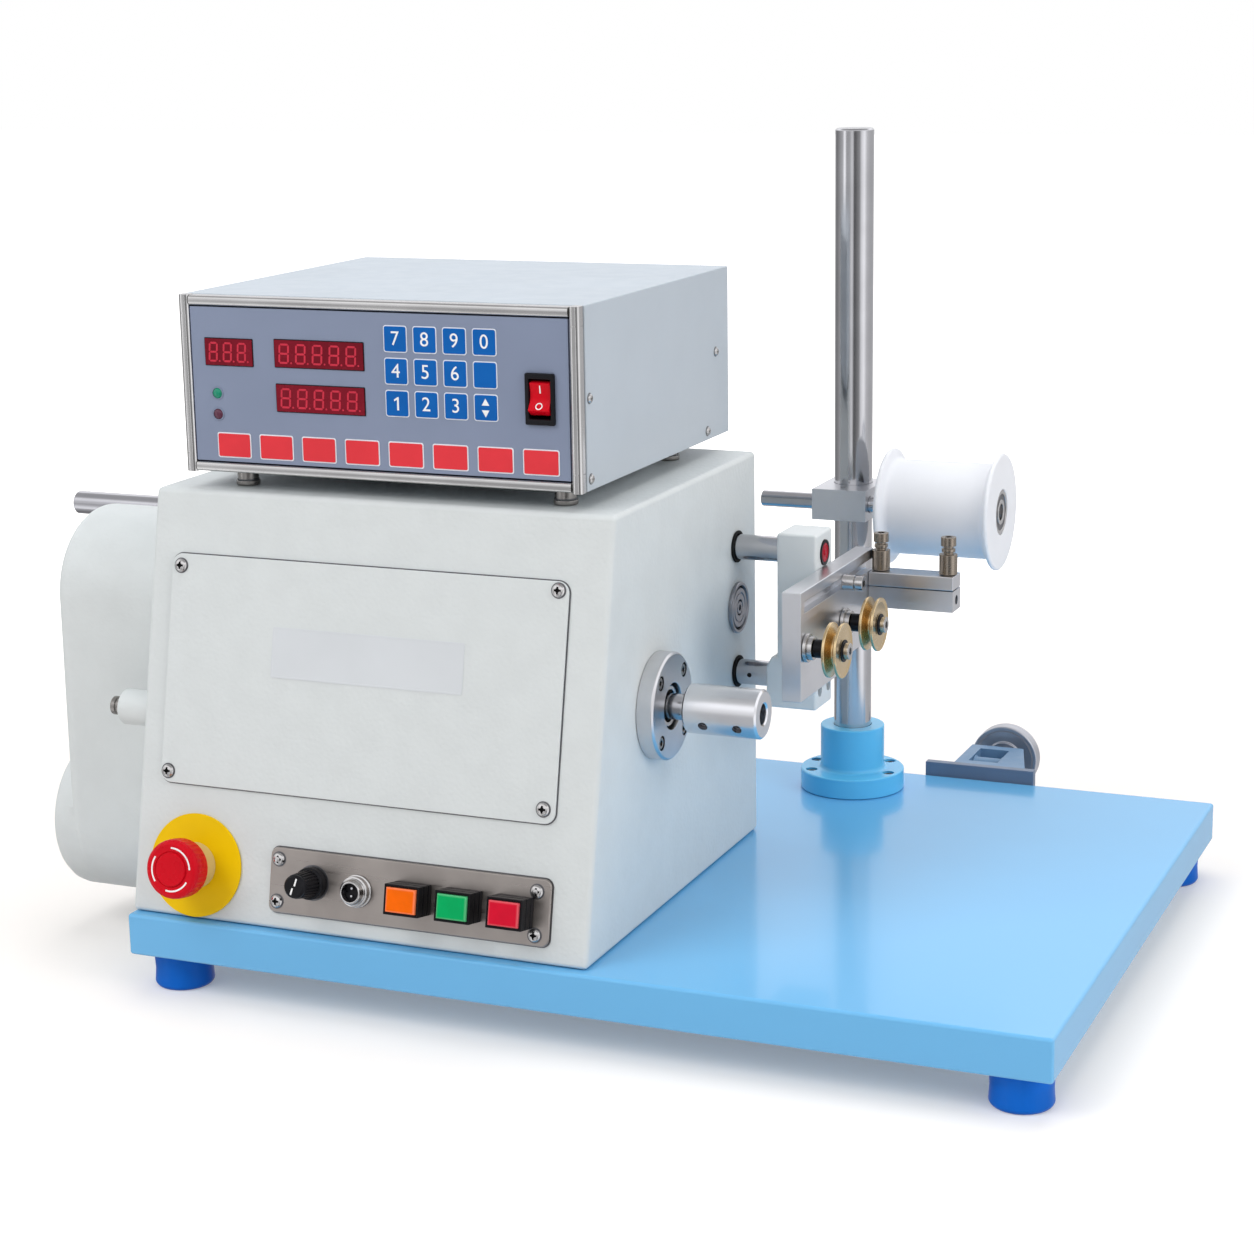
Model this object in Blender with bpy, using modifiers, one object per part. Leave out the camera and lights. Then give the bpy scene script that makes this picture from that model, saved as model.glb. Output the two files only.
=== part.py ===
"""Bench coil winding machine, built as separate solids in metres with +Z up.

Places are written in the base plate's own frame: X runs right from the plate's left edge,
Y runs back from its front edge and Z runs up from its top face. The empty called
machine_frame carries that frame, so that the floor under the middle of the machine is the origin.
Controls sit on the housing's leaning front, in a frame of their own: u to the right,
v up the slope and w out of the face.
"""
import bmesh
import bpy
from math import acos, atan2, cos, hypot, pi, radians, sin, tan
from mathutils import Matrix, Vector

# Shared clearances and counts
fit_gap = 0.0003
overrun = 0.002
small_steps = 12
medium_steps = 16
large_steps = 28
arc_steps = 3
smooth_limit = radians(35)
merge_limit = 0.00001

# Base plate and feet
base_width = 0.550
base_depth = 0.430
base_thickness = 0.025
base_edge = 0.002
foot_radius = 0.0175
foot_waist = 0.0165
foot_height = 0.022
foot_round = 0.003
foot_inset_x = 0.022
foot_inset_y = 0.024

# Housing with its leaning front
housing_width = 0.290
housing_front = 0.006
housing_lean = 0.051
housing_height = 0.243
housing_rear = 0.278
housing_wall = 0.004
housing_edge = 0.0025
access_margin = 0.015

# Front cover on the slope
cover_left = 0.015
cover_right_inset = 0.024
cover_low = 0.078
cover_top_inset = 0.0373
cover_thickness = 0.0016
cover_corner = 0.006
sheet_edge = 0.0003

# Control plate on the slope
control_left_share = 0.31552
control_right_share = 0.92069
control_low = 0.0105
control_high = 0.048
control_thickness = 0.002
control_corner = 0.004
control_window_margin = 0.009

# Emergency stop
estop_share = 0.14310
estop_v = 0.0315
legend_radius = 0.030
legend_thickness = 0.0012
estop_barrel_radius = 0.011
estop_barrel_depth = 0.030
estop_collar_radius = 0.013
estop_collar_top = 0.014
estop_stem_radius = 0.007
estop_stem_depth = 0.018
estop_travel = 0.005
estop_head_radius = 0.0172
estop_head_low = 0.0148
estop_head_top = 0.029
estop_head_crown = 0.003
estop_disc_radius = 0.011
estop_disc_rise = 0.0008
estop_socket_radius = 0.0055
estop_socket_depth = 0.004

# Speed knob
knob_share = 0.41207
knob_v = 0.0300
knob_skirt_radius = 0.0093
knob_skirt_height = 0.006
knob_grip_radius = 0.0079
knob_tip_radius = 0.0072
knob_height = 0.0235
knob_tip_round = 0.0012
knob_flute_count = 12
knob_flute_radius = 0.0011
knob_pointer_width = 0.0012
knob_pointer_depth = 0.0006
knob_bevel_share = 0.8
knob_pointer_share = 0.8

# Pedal socket
socket_share = 0.51034
socket_v = 0.0285
socket_flange_radius = 0.0100
socket_flange_height = 0.003
socket_shell_radius = 0.0085
socket_shell_height = 0.009
socket_bore_radius = 0.0062
socket_bore_depth = 0.0075
socket_barrel_radius = 0.0078
socket_barrel_depth = 0.016

# Square push buttons
button_first_share = 0.63345
button_pitch_share = 0.10828
button_v = 0.0288
button_side = 0.0215
button_height = 0.0172
button_proud = 0.0155
button_wall = 0.0014
button_pocket = 0.009
button_stem_side = 0.0150
button_stem_depth = 0.024
button_edge = 0.0006
lens_proud = 0.0015
lens_edge = 0.0012
lens_travel = 0.003
lens_stem_radius = 0.003
lens_stem_length = 0.006

# Spindle
spindle_y = 0.111
spindle_z = 0.124
spindle_radius = 0.0075
spindle_left = -0.0490
flange_radius = 0.031
flange_thickness = 0.010
flange_edge = 0.0012
flange_lip_radius = 0.0135
flange_boss_radius = 0.0205
flange_boss_depth = 0.028
flange_bolt_circle = 0.0245
flange_bolt_radius = 0.0028
flange_bolt_sink = 0.005
bearing_radius = 0.0172
bearing_width = 0.013
bearing_race = 0.0030
bearing_dish = 0.0012
coupling_gap = 0.0205
coupling_length = 0.0445
coupling_radius = 0.0142
coupling_edge = 0.0012
coupling_seat = 0.019
coupling_bore = 0.0060
coupling_screw_radius = 0.0022
coupling_screw_shares = (0.28, 0.74)
coupling_screw_turn = radians(-62)

# Belt drive under the side cover
motor_y = 0.115
motor_z = 0.032
motor_radius = 0.0285
motor_length = 0.112
motor_bell = 0.012
motor_bell_radius = 0.025
motor_shaft_radius = 0.005
motor_shaft_seat = 0.028
belt_plane = -0.040
belt_width = 0.012
belt_thickness = 0.0018
pulley_rim_width = 0.0135
pulley_flange_width = 0.0015
pulley_flange_rise = 0.003
spindle_pulley_radius = 0.030
motor_pulley_radius = 0.019
cover_depth = 0.085
cover_wall = 0.003
cover_rim = 0.010
cover_top_y = 0.118
cover_top_z = 0.167
cover_top_radius = 0.050
cover_low_y = 0.115
cover_low_z = 0.023
cover_low_radius = 0.048
drum_depth = 0.100
drum_radius = 0.047
drum_z = 0.0215
side_boss_y = 0.042
side_boss_z = 0.113
side_boss_radius = 0.0105
side_boss_depth = 0.0205

# Traverse rods, screw and motor
rod_y = 0.243
rod_drop = 0.053
rod_spacing = 0.078
rod_radius = 0.0077
rod_edge = 0.001
rod_upper_left = -0.183
rod_lower_left = 0.030
bush_radius = 0.0090
bush_flange_radius = 0.0098
bush_flange_proud = 0.0012
bush_depth = 0.022
screw_drop = 0.038
screw_radius = 0.006
screw_left = 0.048
screw_inset = 0.002
screw_plate_radius = 0.0157
screw_plate_proud = 0.0015
screw_hub_radius = 0.0115
screw_hub_depth = 0.016
screw_ring_rise = 0.0006
screw_ring_shares = (0.78, 0.55, 0.30)
traverse_motor_side = 0.042
traverse_motor_left = 0.010
traverse_motor_right = 0.060
traverse_bracket_side = 0.056
traverse_bracket_thickness = 0.005
nut_inset = 0.170
nut_length = 0.025
nut_half_depth = 0.015
nut_margin = 0.014
traverse_edge = 0.0012
traverse_back = 0.014
traverse_out = 0.100

# Guide block and plate
block_gap = 0.031
block_width = 0.025
block_step = 0.007
block_front = 0.228
block_back = 0.258
block_low_margin = 0.017
block_high_margin = 0.013
block_step_rise = 0.015
block_step_chamfer = 0.0035
block_edge = 0.0015
block_upper_web = 0.003
block_lower_web = 0.008
block_hole_radius = 0.0036
block_hole_depth = 0.006
block_hole_y_shares = (0.25, 0.78)
block_hole_rise = 0.011
plate_thickness = 0.0117
plate_front = 0.1655
plate_back = 0.303
plate_rise = 0.005
plate_height = 0.065
plate_edge = 0.0006
plate_cut_start_share = 0.48
plate_cut_end_share = 0.71
plate_cut_rise = 0.008
slot_start = 0.172
slot_drop = 0.0130
slot_height = 0.0065
slot_depth = 0.005

# Wire pulleys and their axles
axle_front_y = 0.1745
axle_rear_y = 0.2440
axle_rise = 0.031
axle_travel = 0.004
axle_radius = 0.0053
axle_shank_radius = 0.0030
axle_washer_radius = 0.0085
axle_washer = 0.002
axle_neck_radius = 0.0068
axle_neck = 0.003
axle_length = 0.0134
axle_journal_radius = 0.0035
axle_head_radius = 0.0048
axle_head = 0.003
axle_edge = 0.001
wire_pulley_radius = 0.0162
wire_pulley_width = 0.0096
wire_pulley_rim = 0.0012
wire_pulley_groove = 0.0095

# Wire clamp arm
arm_length = 0.0537
arm_front = 0.292
arm_back = 0.309
arm_rise = 0.0297
arm_height = 0.0130
jaw_height = 0.0091
arm_edge = 0.0005
arm_gap = 0.0005
arm_adjust = 0.018
arm_eye_radius = 0.0022
arm_eye_depth = 0.012
jaw_lift = 0.003
thumb_inset = 0.0054
thumb_shank_radius = 0.0020
thumb_shank_depth = 0.018
thumb_sleeve_radius = 0.0056
thumb_sleeve = 0.0125
thumb_neck_radius = 0.0030
thumb_ring_radius = 0.0042
thumb_ring = 0.0022
thumb_neck = 0.0014
thumb_head_radius = 0.0047
thumb_head = 0.0056
thumb_edge = 0.0006

# Post, clamp block, axle and roller
post_x = 0.317
post_y = 0.389
post_radius = 0.0123
post_top = 0.433
post_edge = 0.0012
post_floor = 0.003
post_flange_radius = 0.0343
post_flange_height = 0.0135
post_collar_radius = 0.0211
post_collar_top = 0.043
post_edge_round = 0.0012
post_bolt_circle = 0.0282
post_bolt_radius = 0.0035
post_bolt_depth = 0.007
clamp_half_width = 0.018
clamp_front_reach = 0.031
clamp_back_reach = 0.017
clamp_low = 0.186
clamp_high = 0.206
clamp_edge = 0.001
clamp_drop = 0.115
clamp_lift = 0.220
clamp_screw_radius = 0.0018
clamp_screw_depth = 0.006
roller_axis_reach = 0.021
axle_rod_radius = 0.0052
axle_rod_left = 0.262
axle_rod_right = 0.418
axle_rod_edge = 0.0008
axle_rod_in = 0.010
axle_rod_out = 0.030
roller_left = 0.348
roller_right = 0.422
roller_barrel_radius = 0.0303
roller_flange_radius = 0.037
roller_rim = 0.0032
roller_root = 0.0055
roller_seat_radius = 0.0143
roller_seat_depth = 0.007
roller_rim_round = 0.0012

# Rear bracket and handwheel
rear_plate_left = 0.3555
rear_plate_right = 0.430
rear_plate_low = -0.023
rear_plate_high = 0.009
rear_plate_thickness = 0.006
rear_plate_edge = 0.001
rear_block_left = 0.3735
rear_block_right = 0.4225
rear_block_back_right = 0.4095
rear_block_low = -0.021
rear_block_high = 0.0085
rear_block_depth = 0.047
rear_block_edge = 0.0012
rear_window_margin_x = 0.008
rear_window_margin_y = 0.008
rear_window_depth = 0.010
wheel_x = 0.3925
wheel_z = -0.004
wheel_radius = 0.0230
wheel_width = 0.011
wheel_gap = 0.013
wheel_edge = 0.0018
wheel_dish = 0.0025
wheel_dish_radius = 0.0185
wheel_hub_radius = 0.008
wheel_shaft_radius = 0.004
wheel_shaft_seat = 0.014

# Controller box on the housing
box_left = 0.019
box_inset = 0.040
box_front = 0.060
box_back = 0.287
box_lift = 0.010
box_height = 0.102
box_sheet = 0.0015
box_edge = 0.0012
bezel_depth = 0.008
bezel_band = 0.0078
bezel_edge = 0.0014
panel_recess = 0.0015
panel_thickness = 0.002
tray_thickness = 0.002
box_foot_radius = 0.0070
box_foot_post_radius = 0.0062
box_foot_pad = 0.003
box_foot_inset_left = 0.0285
box_foot_inset_right = 0.0190
box_foot_inset_front = 0.021
box_foot_inset_back = 0.045
switch_inset = 0.0240
switch_rise = 0.0512
switch_half_width = 0.0087
switch_half_height = 0.0142
switch_proud = 0.0022
switch_depth = 0.013
switch_wall = 0.0015
switch_edge = 0.0008
rocker_half_width = 0.0062
rocker_half_height = 0.0094
rocker_tip = 0.0070
rocker_waist = 0.0048
rocker_back = 0.0030
rocker_throw = radians(8)
rocker_swing_room = 0.0014

# Values that follow from the driving ones
floor_z = -base_thickness - fit_gap - foot_height
slope_angle = atan2(housing_lean, housing_height)
slope_length = hypot(housing_lean, housing_height)
cover_right = housing_width - cover_right_inset
cover_high = slope_length - cover_top_inset
control_left = control_left_share * housing_width
control_right = control_right_share * housing_width
estop_u = estop_share * housing_width
knob_u = knob_share * housing_width
socket_u = socket_share * housing_width
button_first_u = button_first_share * housing_width
button_pitch = button_pitch_share * housing_width
coupling_left = housing_width + coupling_gap
coupling_right = coupling_left + coupling_length
rod_upper_z = housing_height - rod_drop
rod_lower_z = rod_upper_z - rod_spacing
screw_z = rod_upper_z - screw_drop
screw_right = housing_width - screw_inset
nut_left = housing_width - nut_inset
block_left = housing_width + block_gap
block_right = block_left + block_width
block_step_left = block_left - block_step
block_low = rod_lower_z - block_low_margin
block_high = rod_upper_z + block_high_margin
block_step_top = rod_lower_z + block_step_rise
plate_low = rod_lower_z + plate_rise
plate_high = plate_low + plate_height
slot_low = plate_high - slot_drop
slot_high = slot_low + slot_height
axle_z = plate_low + axle_rise
arm_low = plate_low + arm_rise
arm_split = arm_low + arm_height
arm_high = arm_split + jaw_height
box_width = housing_width - box_inset
box_low = housing_height + box_lift
box_high = box_low + box_height
switch_u = box_width - switch_inset
switch_z = box_low + switch_rise
plate_left = block_right + fit_gap
plate_right = plate_left + plate_thickness
arm_left = plate_right + fit_gap
rear_plate_front = base_depth + fit_gap
rear_block_front = rear_plate_front + rear_plate_thickness + fit_gap
wheel_front = rear_block_front + rear_block_depth + wheel_gap
wheel_back = wheel_front + wheel_width
roller_y = post_y - roller_axis_reach
roller_z = (clamp_low + clamp_high) / 2

SCENE = bpy.context.scene
PARTS = bpy.data.collections.new("wire_coil_winding_machine")
CUTTERS = bpy.data.collections.new("cutters")
PLACES = {}


def clear_scene():
    """Removes the objects that the open file holds."""
    for found in list(bpy.data.objects):
        bpy.data.objects.remove(found, do_unlink=True)
    SCENE.collection.children.link(PARTS)
    SCENE.collection.children.link(CUTTERS)


def material(name, colour, roughness, metallic=0.0, transmission=0.0):
    """Makes a Principled material."""
    made = bpy.data.materials.new(name)
    made.use_nodes = True
    shader = made.node_tree.nodes["Principled BSDF"]
    shader.inputs["Base Color"].default_value = (*colour, 1.0)
    shader.inputs["Roughness"].default_value = roughness
    shader.inputs["Metallic"].default_value = metallic
    shader.inputs["Transmission Weight"].default_value = transmission
    made.diffuse_color = (*colour, 1.0)
    return made


def place(thing, at, parent):
    """Parents a thing and puts it at a point of the frame that its parents share."""
    thing.parent = parent
    thing.location = Vector(at) - PLACES.get(parent.name, Vector())
    PLACES[thing.name] = Vector(at)
    return thing


def joint_frame(name, at, parent, travel=None):
    """Makes the empty that moving pieces hang on, and notes how far they travel."""
    pivot = bpy.data.objects.new(name, None)
    pivot.empty_display_size = foot_height
    if travel is not None:
        pivot["travel"] = travel
    PARTS.objects.link(pivot)
    return place(pivot, at, parent)


TURNS = {
    "x": (0, pi / 2, 0),
    "y": (-pi / 2, 0, 0),
    "z": (0, 0, 0),
}
SLAB_TURNS = {
    "x": (pi / 2, 0, pi / 2),
    "y": (pi / 2, 0, 0),
    "z": (0, 0, 0),
}


def part_object(name, mesh, at, parent, look=None, turn=(0, 0, 0)):
    """Links a mesh as a part, or as a cutter where it has no look."""
    made = bpy.data.objects.new(name, mesh)
    made.rotation_euler = turn
    if look is None:
        CUTTERS.objects.link(made)
        made.hide_render = True
        made.display_type = "WIRE"
    else:
        PARTS.objects.link(made)
        made.data.materials.append(look)
    return place(made, at, parent)


def add_bevel(piece, width, segments=2):
    """Rounds a piece's edges."""
    bevel = piece.modifiers.new("edges", "BEVEL")
    bevel.width = width
    bevel.segments = segments
    bevel.limit_method = "ANGLE"
    bevel.angle_limit = smooth_limit
    return piece


def block(name, low, high, parent, look=None, edge=0.0):
    """Makes a box between two corners, from a cube primitive."""
    low, high = Vector(low), Vector(high)
    shape = bmesh.new()
    bmesh.ops.create_cube(shape, size=1.0)
    bmesh.ops.scale(shape, vec=high - low, verts=shape.verts)
    mesh = bpy.data.meshes.new(name)
    shape.to_mesh(mesh)
    shape.free()
    made = part_object(name, mesh, (low + high) / 2, parent, look)
    if edge:
        add_bevel(made, edge)
    return made


def rod(name, radius, start, end, parent, look=None, axis="x", steps=small_steps):
    """Makes a plain cylinder between two points on an axis, from a cone primitive."""
    start, end = Vector(start), Vector(end)
    shape = bmesh.new()
    length = (end - start).length
    bmesh.ops.create_cone(shape, cap_ends=True, segments=steps, radius1=radius, radius2=radius,
                          depth=length)
    mesh = bpy.data.meshes.new(name)
    shape.to_mesh(mesh)
    shape.free()
    return part_object(name, mesh, (start + end) / 2, parent, look, TURNS[axis])


def settle(piece):
    """Turns a curve or a screwed profile into a closed mesh of its own."""
    bpy.context.view_layer.update()
    seen = piece.evaluated_get(bpy.context.evaluated_depsgraph_get())
    mesh = bpy.data.meshes.new_from_object(seen)
    shape = bmesh.new()
    shape.from_mesh(mesh)
    bmesh.ops.remove_doubles(shape, verts=shape.verts, dist=merge_limit)
    shape.to_mesh(mesh)
    shape.free()
    return mesh


def turned(name, profile, at, parent, look=None, axis="z", steps=medium_steps, closed=False):
    """Turns a profile of (radius, height) about an axis; a profile that closes is a ring."""
    mesh = bpy.data.meshes.new(name)
    points = [(radius, 0, height) for radius, height in profile]
    edges = [(step, step + 1) for step in range(len(points) - 1)]
    if closed:
        edges.append((len(points) - 1, 0))
    mesh.from_pydata(points, edges, [])
    made = part_object(name, mesh, at, parent, look, TURNS[axis])
    screw = made.modifiers.new("turn", "SCREW")
    screw.axis = "Z"
    screw.steps = steps
    screw.render_steps = steps
    screw.use_merge_vertices = True
    screw.merge_threshold = merge_limit
    made.data = settle(made)
    made.modifiers.clear()
    made.data.shade_smooth()
    made.data.set_sharp_from_angle(angle=smooth_limit)
    if look is not None and not made.data.materials:
        made.data.materials.append(look)
    return made


def outline_mesh(name, outline, thickness):
    """Fills a flat outline and gives it a thickness, centred on its plane."""
    curve = bpy.data.curves.new(name, "CURVE")
    curve.dimensions = "2D"
    curve.fill_mode = "BOTH"
    curve.extrude = thickness / 2
    spline = curve.splines.new("POLY")
    spline.points.add(len(outline) - 1)
    for point, (across, along) in zip(spline.points, outline):
        point.co = (across, along, 0, 1)
    spline.use_cyclic_u = True
    holder = bpy.data.objects.new(name, curve)
    SCENE.collection.objects.link(holder)
    mesh = settle(holder)
    bpy.data.objects.remove(holder, do_unlink=True)
    return mesh


def slab(name, outline, low, high, parent, look=None, axis="z", edge=0.0, rim=0.0):
    """Makes a flat piece of an outline, with its thickness from low to high along an axis."""
    mesh = outline_mesh(name, outline, high - low)
    if rim:
        round_end(mesh, rim, -1)
    middle = (low + high) / 2
    at = {"x": (middle, 0, 0), "y": (0, middle, 0), "z": (0, 0, middle)}[axis]
    made = part_object(name, mesh, at, parent, look, SLAB_TURNS[axis])
    if edge:
        add_bevel(made, edge)
    return made


def round_end(mesh, radius, side):
    """Rounds the edge loop at one end of a flat piece."""
    shape = bmesh.new()
    shape.from_mesh(mesh)
    end = max(side * vertex.co.z for vertex in shape.verts)
    loop = [edge for edge in shape.edges
            if all(abs(side * vertex.co.z - end) < merge_limit for vertex in edge.verts)
            and any(abs(face.normal.z) < 0.5 for face in edge.link_faces)]
    bmesh.ops.bevel(shape, geom=loop, offset=radius, segments=arc_steps, profile=0.5, affect="EDGES")
    shape.to_mesh(mesh)
    shape.free()


def rounded_rectangle(left, low, right, high, radius):
    """Gives the points of a rectangle whose corners are arcs."""
    corners = ((right - radius, high - radius, 0), (left + radius, high - radius, pi / 2),
               (left + radius, low + radius, pi), (right - radius, low + radius, 3 * pi / 2))
    points = []
    for across, along, start in corners:
        for step in range(arc_steps + 1):
            angle = start + step * pi / 2 / arc_steps
            points.append((across + radius * cos(angle), along + radius * sin(angle)))
    return points


def belt_outline(first, first_radius, second, second_radius, steps=medium_steps):
    """Gives the outline of a band drawn tight round two circles."""
    first, second = Vector(first), Vector(second)
    along = second - first
    heading = atan2(along.y, along.x)
    lean = acos((first_radius - second_radius) / along.length)
    points = []
    for centre, radius, start, sweep in ((first, first_radius, heading + lean, 2 * pi - 2 * lean),
                                         (second, second_radius, heading - lean, 2 * lean)):
        count = max(arc_steps, round(steps * sweep / (2 * pi)))
        for step in range(count + 1):
            angle = start + sweep * step / count
            points.append((centre.x + radius * cos(angle), centre.y + radius * sin(angle)))
    return points


def combine(piece, other, operation="DIFFERENCE"):
    """Cuts a piece with a cutter, or joins the cutter's shape to it."""
    change = piece.modifiers.new(operation.lower(), "BOOLEAN")
    change.object = other
    change.operation = operation
    change.solver = "EXACT"
    return piece


def drill(piece, name, radius, start, end, parent, axis="x", steps=small_steps):
    """Cuts a round hole between two points of an axis."""
    return combine(piece, rod(name, radius, start, end, parent, axis=axis, steps=steps))


def pocket(piece, name, low, high, parent):
    """Cuts a square pocket between two corners."""
    return combine(piece, block(name, low, high, parent))


def grid(first, second):
    """Pairs each value of one tuple with each of another."""
    return [(across, along) for across in first for along in second]


# Looks of the materials
def make_looks():
    """Makes one Principled material for each finish."""
    return {
        "sky": material("sky_blue_paint", (0.29, 0.58, 0.83), 0.30),
        "foot": material("blue_rubber", (0.02, 0.17, 0.50), 0.45),
        "grey": material("grey_hammer_paint", (0.72, 0.75, 0.75), 0.42),
        "shell": material("pale_blue_grey_paint", (0.60, 0.66, 0.70), 0.45),
        "panel": material("slate_panel_film", (0.36, 0.41, 0.48), 0.50),
        "steel": material("polished_steel", (0.62, 0.62, 0.63), 0.22, 1.0),
        "dark_steel": material("dark_steel", (0.30, 0.30, 0.32), 0.32, 1.0),
        "brushed": material("brushed_stainless", (0.56, 0.53, 0.50), 0.35, 1.0),
        "alloy": material("satin_aluminium", (0.66, 0.67, 0.70), 0.33, 1.0),
        "nickel": material("nickel_bronze", (0.48, 0.42, 0.34), 0.28, 1.0),
        "brass": material("brass", (0.78, 0.60, 0.30), 0.25, 1.0),
        "black": material("black_plastic", (0.02, 0.02, 0.025), 0.40),
        "rubber": material("black_rubber", (0.025, 0.025, 0.025), 0.70),
        "white": material("white_nylon", (0.86, 0.87, 0.88), 0.40),
        "yellow": material("yellow_legend", (0.95, 0.68, 0.02), 0.40),
        "cream": material("cream_plastic", (0.78, 0.68, 0.45), 0.45),
        "red": material("red_plastic", (0.75, 0.03, 0.05), 0.30),
        "orange": material("orange_lens", (1.00, 0.33, 0.02), 0.20),
        "green": material("green_lens", (0.02, 0.50, 0.20), 0.20),
        "bracket": material("slate_blue_paint", (0.22, 0.38, 0.56), 0.40),
    }


def make_base(frame, look):
    """Base plate on its four feet."""
    block("base_plate", (0, 0, -base_thickness), (base_width, base_depth, 0), frame, look["sky"], base_edge)
    under = -base_thickness - fit_gap
    half = foot_height / 2
    profile = [(0, half), (foot_radius, half), (foot_waist, 0), (foot_radius, foot_round - half),
               (foot_radius - foot_round, -half), (0, -half)]
    places = grid((foot_inset_x, base_width - foot_inset_x), (foot_inset_y, base_depth - foot_inset_y))
    names = ("foot_front_left", "foot_rear_left", "foot_front_right", "foot_rear_right")
    for name, (across, back) in zip(names, places):
        turned(name, profile, (across, back, under - half), frame, look["foot"])


def make_housing(frame, face, look):
    """Open-bottomed housing with its leaning front, side boss and holes."""
    lean = tan(slope_angle)
    outer = [(housing_front, fit_gap), (housing_rear, fit_gap),
             (housing_rear, housing_height), (housing_front + housing_height * lean, housing_height)]
    housing = slab("housing", outer, 0, housing_width, frame, look["grey"], "x", housing_edge)
    inner_front = housing_front + housing_wall / cos(slope_angle)
    inner_top = housing_height - housing_wall
    inner_back = housing_rear - housing_wall
    inner = [(inner_front - overrun * lean, -overrun), (inner_back, -overrun),
             (inner_back, inner_top), (inner_front + inner_top * lean, inner_top)]
    combine(housing, slab("housing_inside", inner, housing_wall, housing_width - housing_wall, frame,
                          axis="x"))

    access = block("access_window", (cover_left + access_margin, cover_low + access_margin,
                                     -housing_wall * 2),
                   (cover_right - access_margin, cover_high - access_margin, housing_wall), face)
    combine(housing, access)
    window = block("control_window",
                   (control_left + control_window_margin, control_low + control_window_margin,
                    -housing_wall * 2),
                   (control_right - control_window_margin, control_high - control_window_margin,
                    housing_wall), face)
    combine(housing, window)
    drill(housing, "estop_hole", estop_barrel_radius + fit_gap,
          (estop_u, estop_v, -housing_wall * 2), (estop_u, estop_v, housing_wall), face, "z", large_steps)

    right = (housing_width - housing_wall - overrun, housing_width + overrun)
    left = (-overrun, housing_wall + overrun)
    holes = (
        ("flange_hole", flange_boss_radius, spindle_y, spindle_z, right),
        ("upper_bush_hole", bush_radius, rod_y, rod_upper_z, right),
        ("lower_bush_hole", bush_radius, rod_y, rod_lower_z, right),
        ("screw_plate_hole", screw_hub_radius, rod_y, screw_z, right),
        ("spindle_exit", spindle_radius, spindle_y, spindle_z, left),
        ("motor_exit", motor_shaft_radius, motor_y, motor_z, left),
        ("rod_exit", rod_radius, rod_y, rod_upper_z, left),
    )
    for name, radius, back, height, (start, end) in holes:
        drill(housing, name, radius + fit_gap, (start, back, height), (end, back, height), frame,
              steps=large_steps)
    boss = rod("side_boss", side_boss_radius, (-side_boss_depth, side_boss_y, side_boss_z),
               (housing_wall / 2, side_boss_y, side_boss_z), frame)
    combine(housing, boss, "UNION")

    cover = rounded_rectangle(cover_left, cover_low, cover_right, cover_high, cover_corner)
    slab("front_cover", cover, fit_gap, fit_gap + cover_thickness, face, look["grey"], edge=sheet_edge)


def make_control_plate(face, look):
    """Control plate with its knob, pedal socket and three push buttons."""
    outline = rounded_rectangle(control_left, control_low, control_right, control_high, control_corner)
    top = fit_gap + control_thickness
    plate = slab("control_plate", outline, fit_gap, top, face, look["brushed"], edge=sheet_edge)
    drill(plate, "socket_hole", socket_barrel_radius + fit_gap,
          (socket_u, socket_v, -overrun), (socket_u, socket_v, top + overrun), face, "z")

    seat = top + fit_gap
    bore_floor = socket_shell_height - socket_bore_depth
    profile = [(0, bore_floor), (socket_bore_radius, bore_floor), (socket_bore_radius, socket_shell_height),
               (socket_shell_radius, socket_shell_height), (socket_shell_radius, socket_flange_height),
               (socket_flange_radius, socket_flange_height), (socket_flange_radius, 0),
               (socket_barrel_radius, 0), (socket_barrel_radius, -socket_barrel_depth), (0,
                                                                                         -socket_barrel_depth)]
    turned("pedal_socket", profile, (socket_u, socket_v, seat), face, look["steel"], steps=small_steps)

    half = button_side / 2
    rise = button_height / 2
    stem = button_stem_side / 2
    colours = ("orange", "green", "red")
    for order, colour in enumerate(colours):
        u = button_first_u + order * button_pitch
        pocket(plate, "stem_hole_" + colour, (u - stem - fit_gap, button_v - stem - fit_gap, -overrun),
               (u + stem + fit_gap, button_v + stem + fit_gap, top + overrun), face)
        make_button(colour, u, seat, half, rise, stem, face, look)
    make_knob(seat, face, look)


def make_button(colour, u, seat, half, rise, stem, face, look):
    """Square push button: a frame with a stem behind the plate, and a sprung lens."""
    top = seat + button_proud
    body = block("button_frame_" + colour, (u - half, button_v - rise, seat),
                 (u + half, button_v + rise, top),
                 face, look["black"], button_edge)
    tail = block("button_stem_" + colour, (u - stem, button_v - stem, seat - button_stem_depth),
                 (u + stem, button_v + stem, seat + button_wall), face)
    combine(body, tail, "UNION")
    room = half - button_wall
    lift = rise - button_wall
    floor = top - button_pocket
    pocket(body, "button_pocket_" + colour, (u - room, button_v - lift, floor),
           (u + room, button_v + lift, top + overrun), face)
    drill(body, "button_guide_" + colour, lens_stem_radius + fit_gap,
          (u, button_v, floor - lens_stem_length - lens_travel), (u, button_v, top), face, "z")
    side = room - fit_gap
    lift = lift - fit_gap
    pivot = joint_frame("lens_slide_" + colour, (u, button_v, floor), face)
    lens = block("button_lens_" + colour, (u - side, button_v - lift, floor + lens_travel + fit_gap),
                 (u + side, button_v + lift, top + lens_proud), pivot, look[colour], lens_edge)
    stem_piece = rod("lens_stem_" + colour, lens_stem_radius,
                     (u, button_v, floor - lens_stem_length + lens_travel),
                     (u, button_v, top - lens_proud), pivot, axis="z")
    combine(lens, stem_piece, "UNION")


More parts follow.
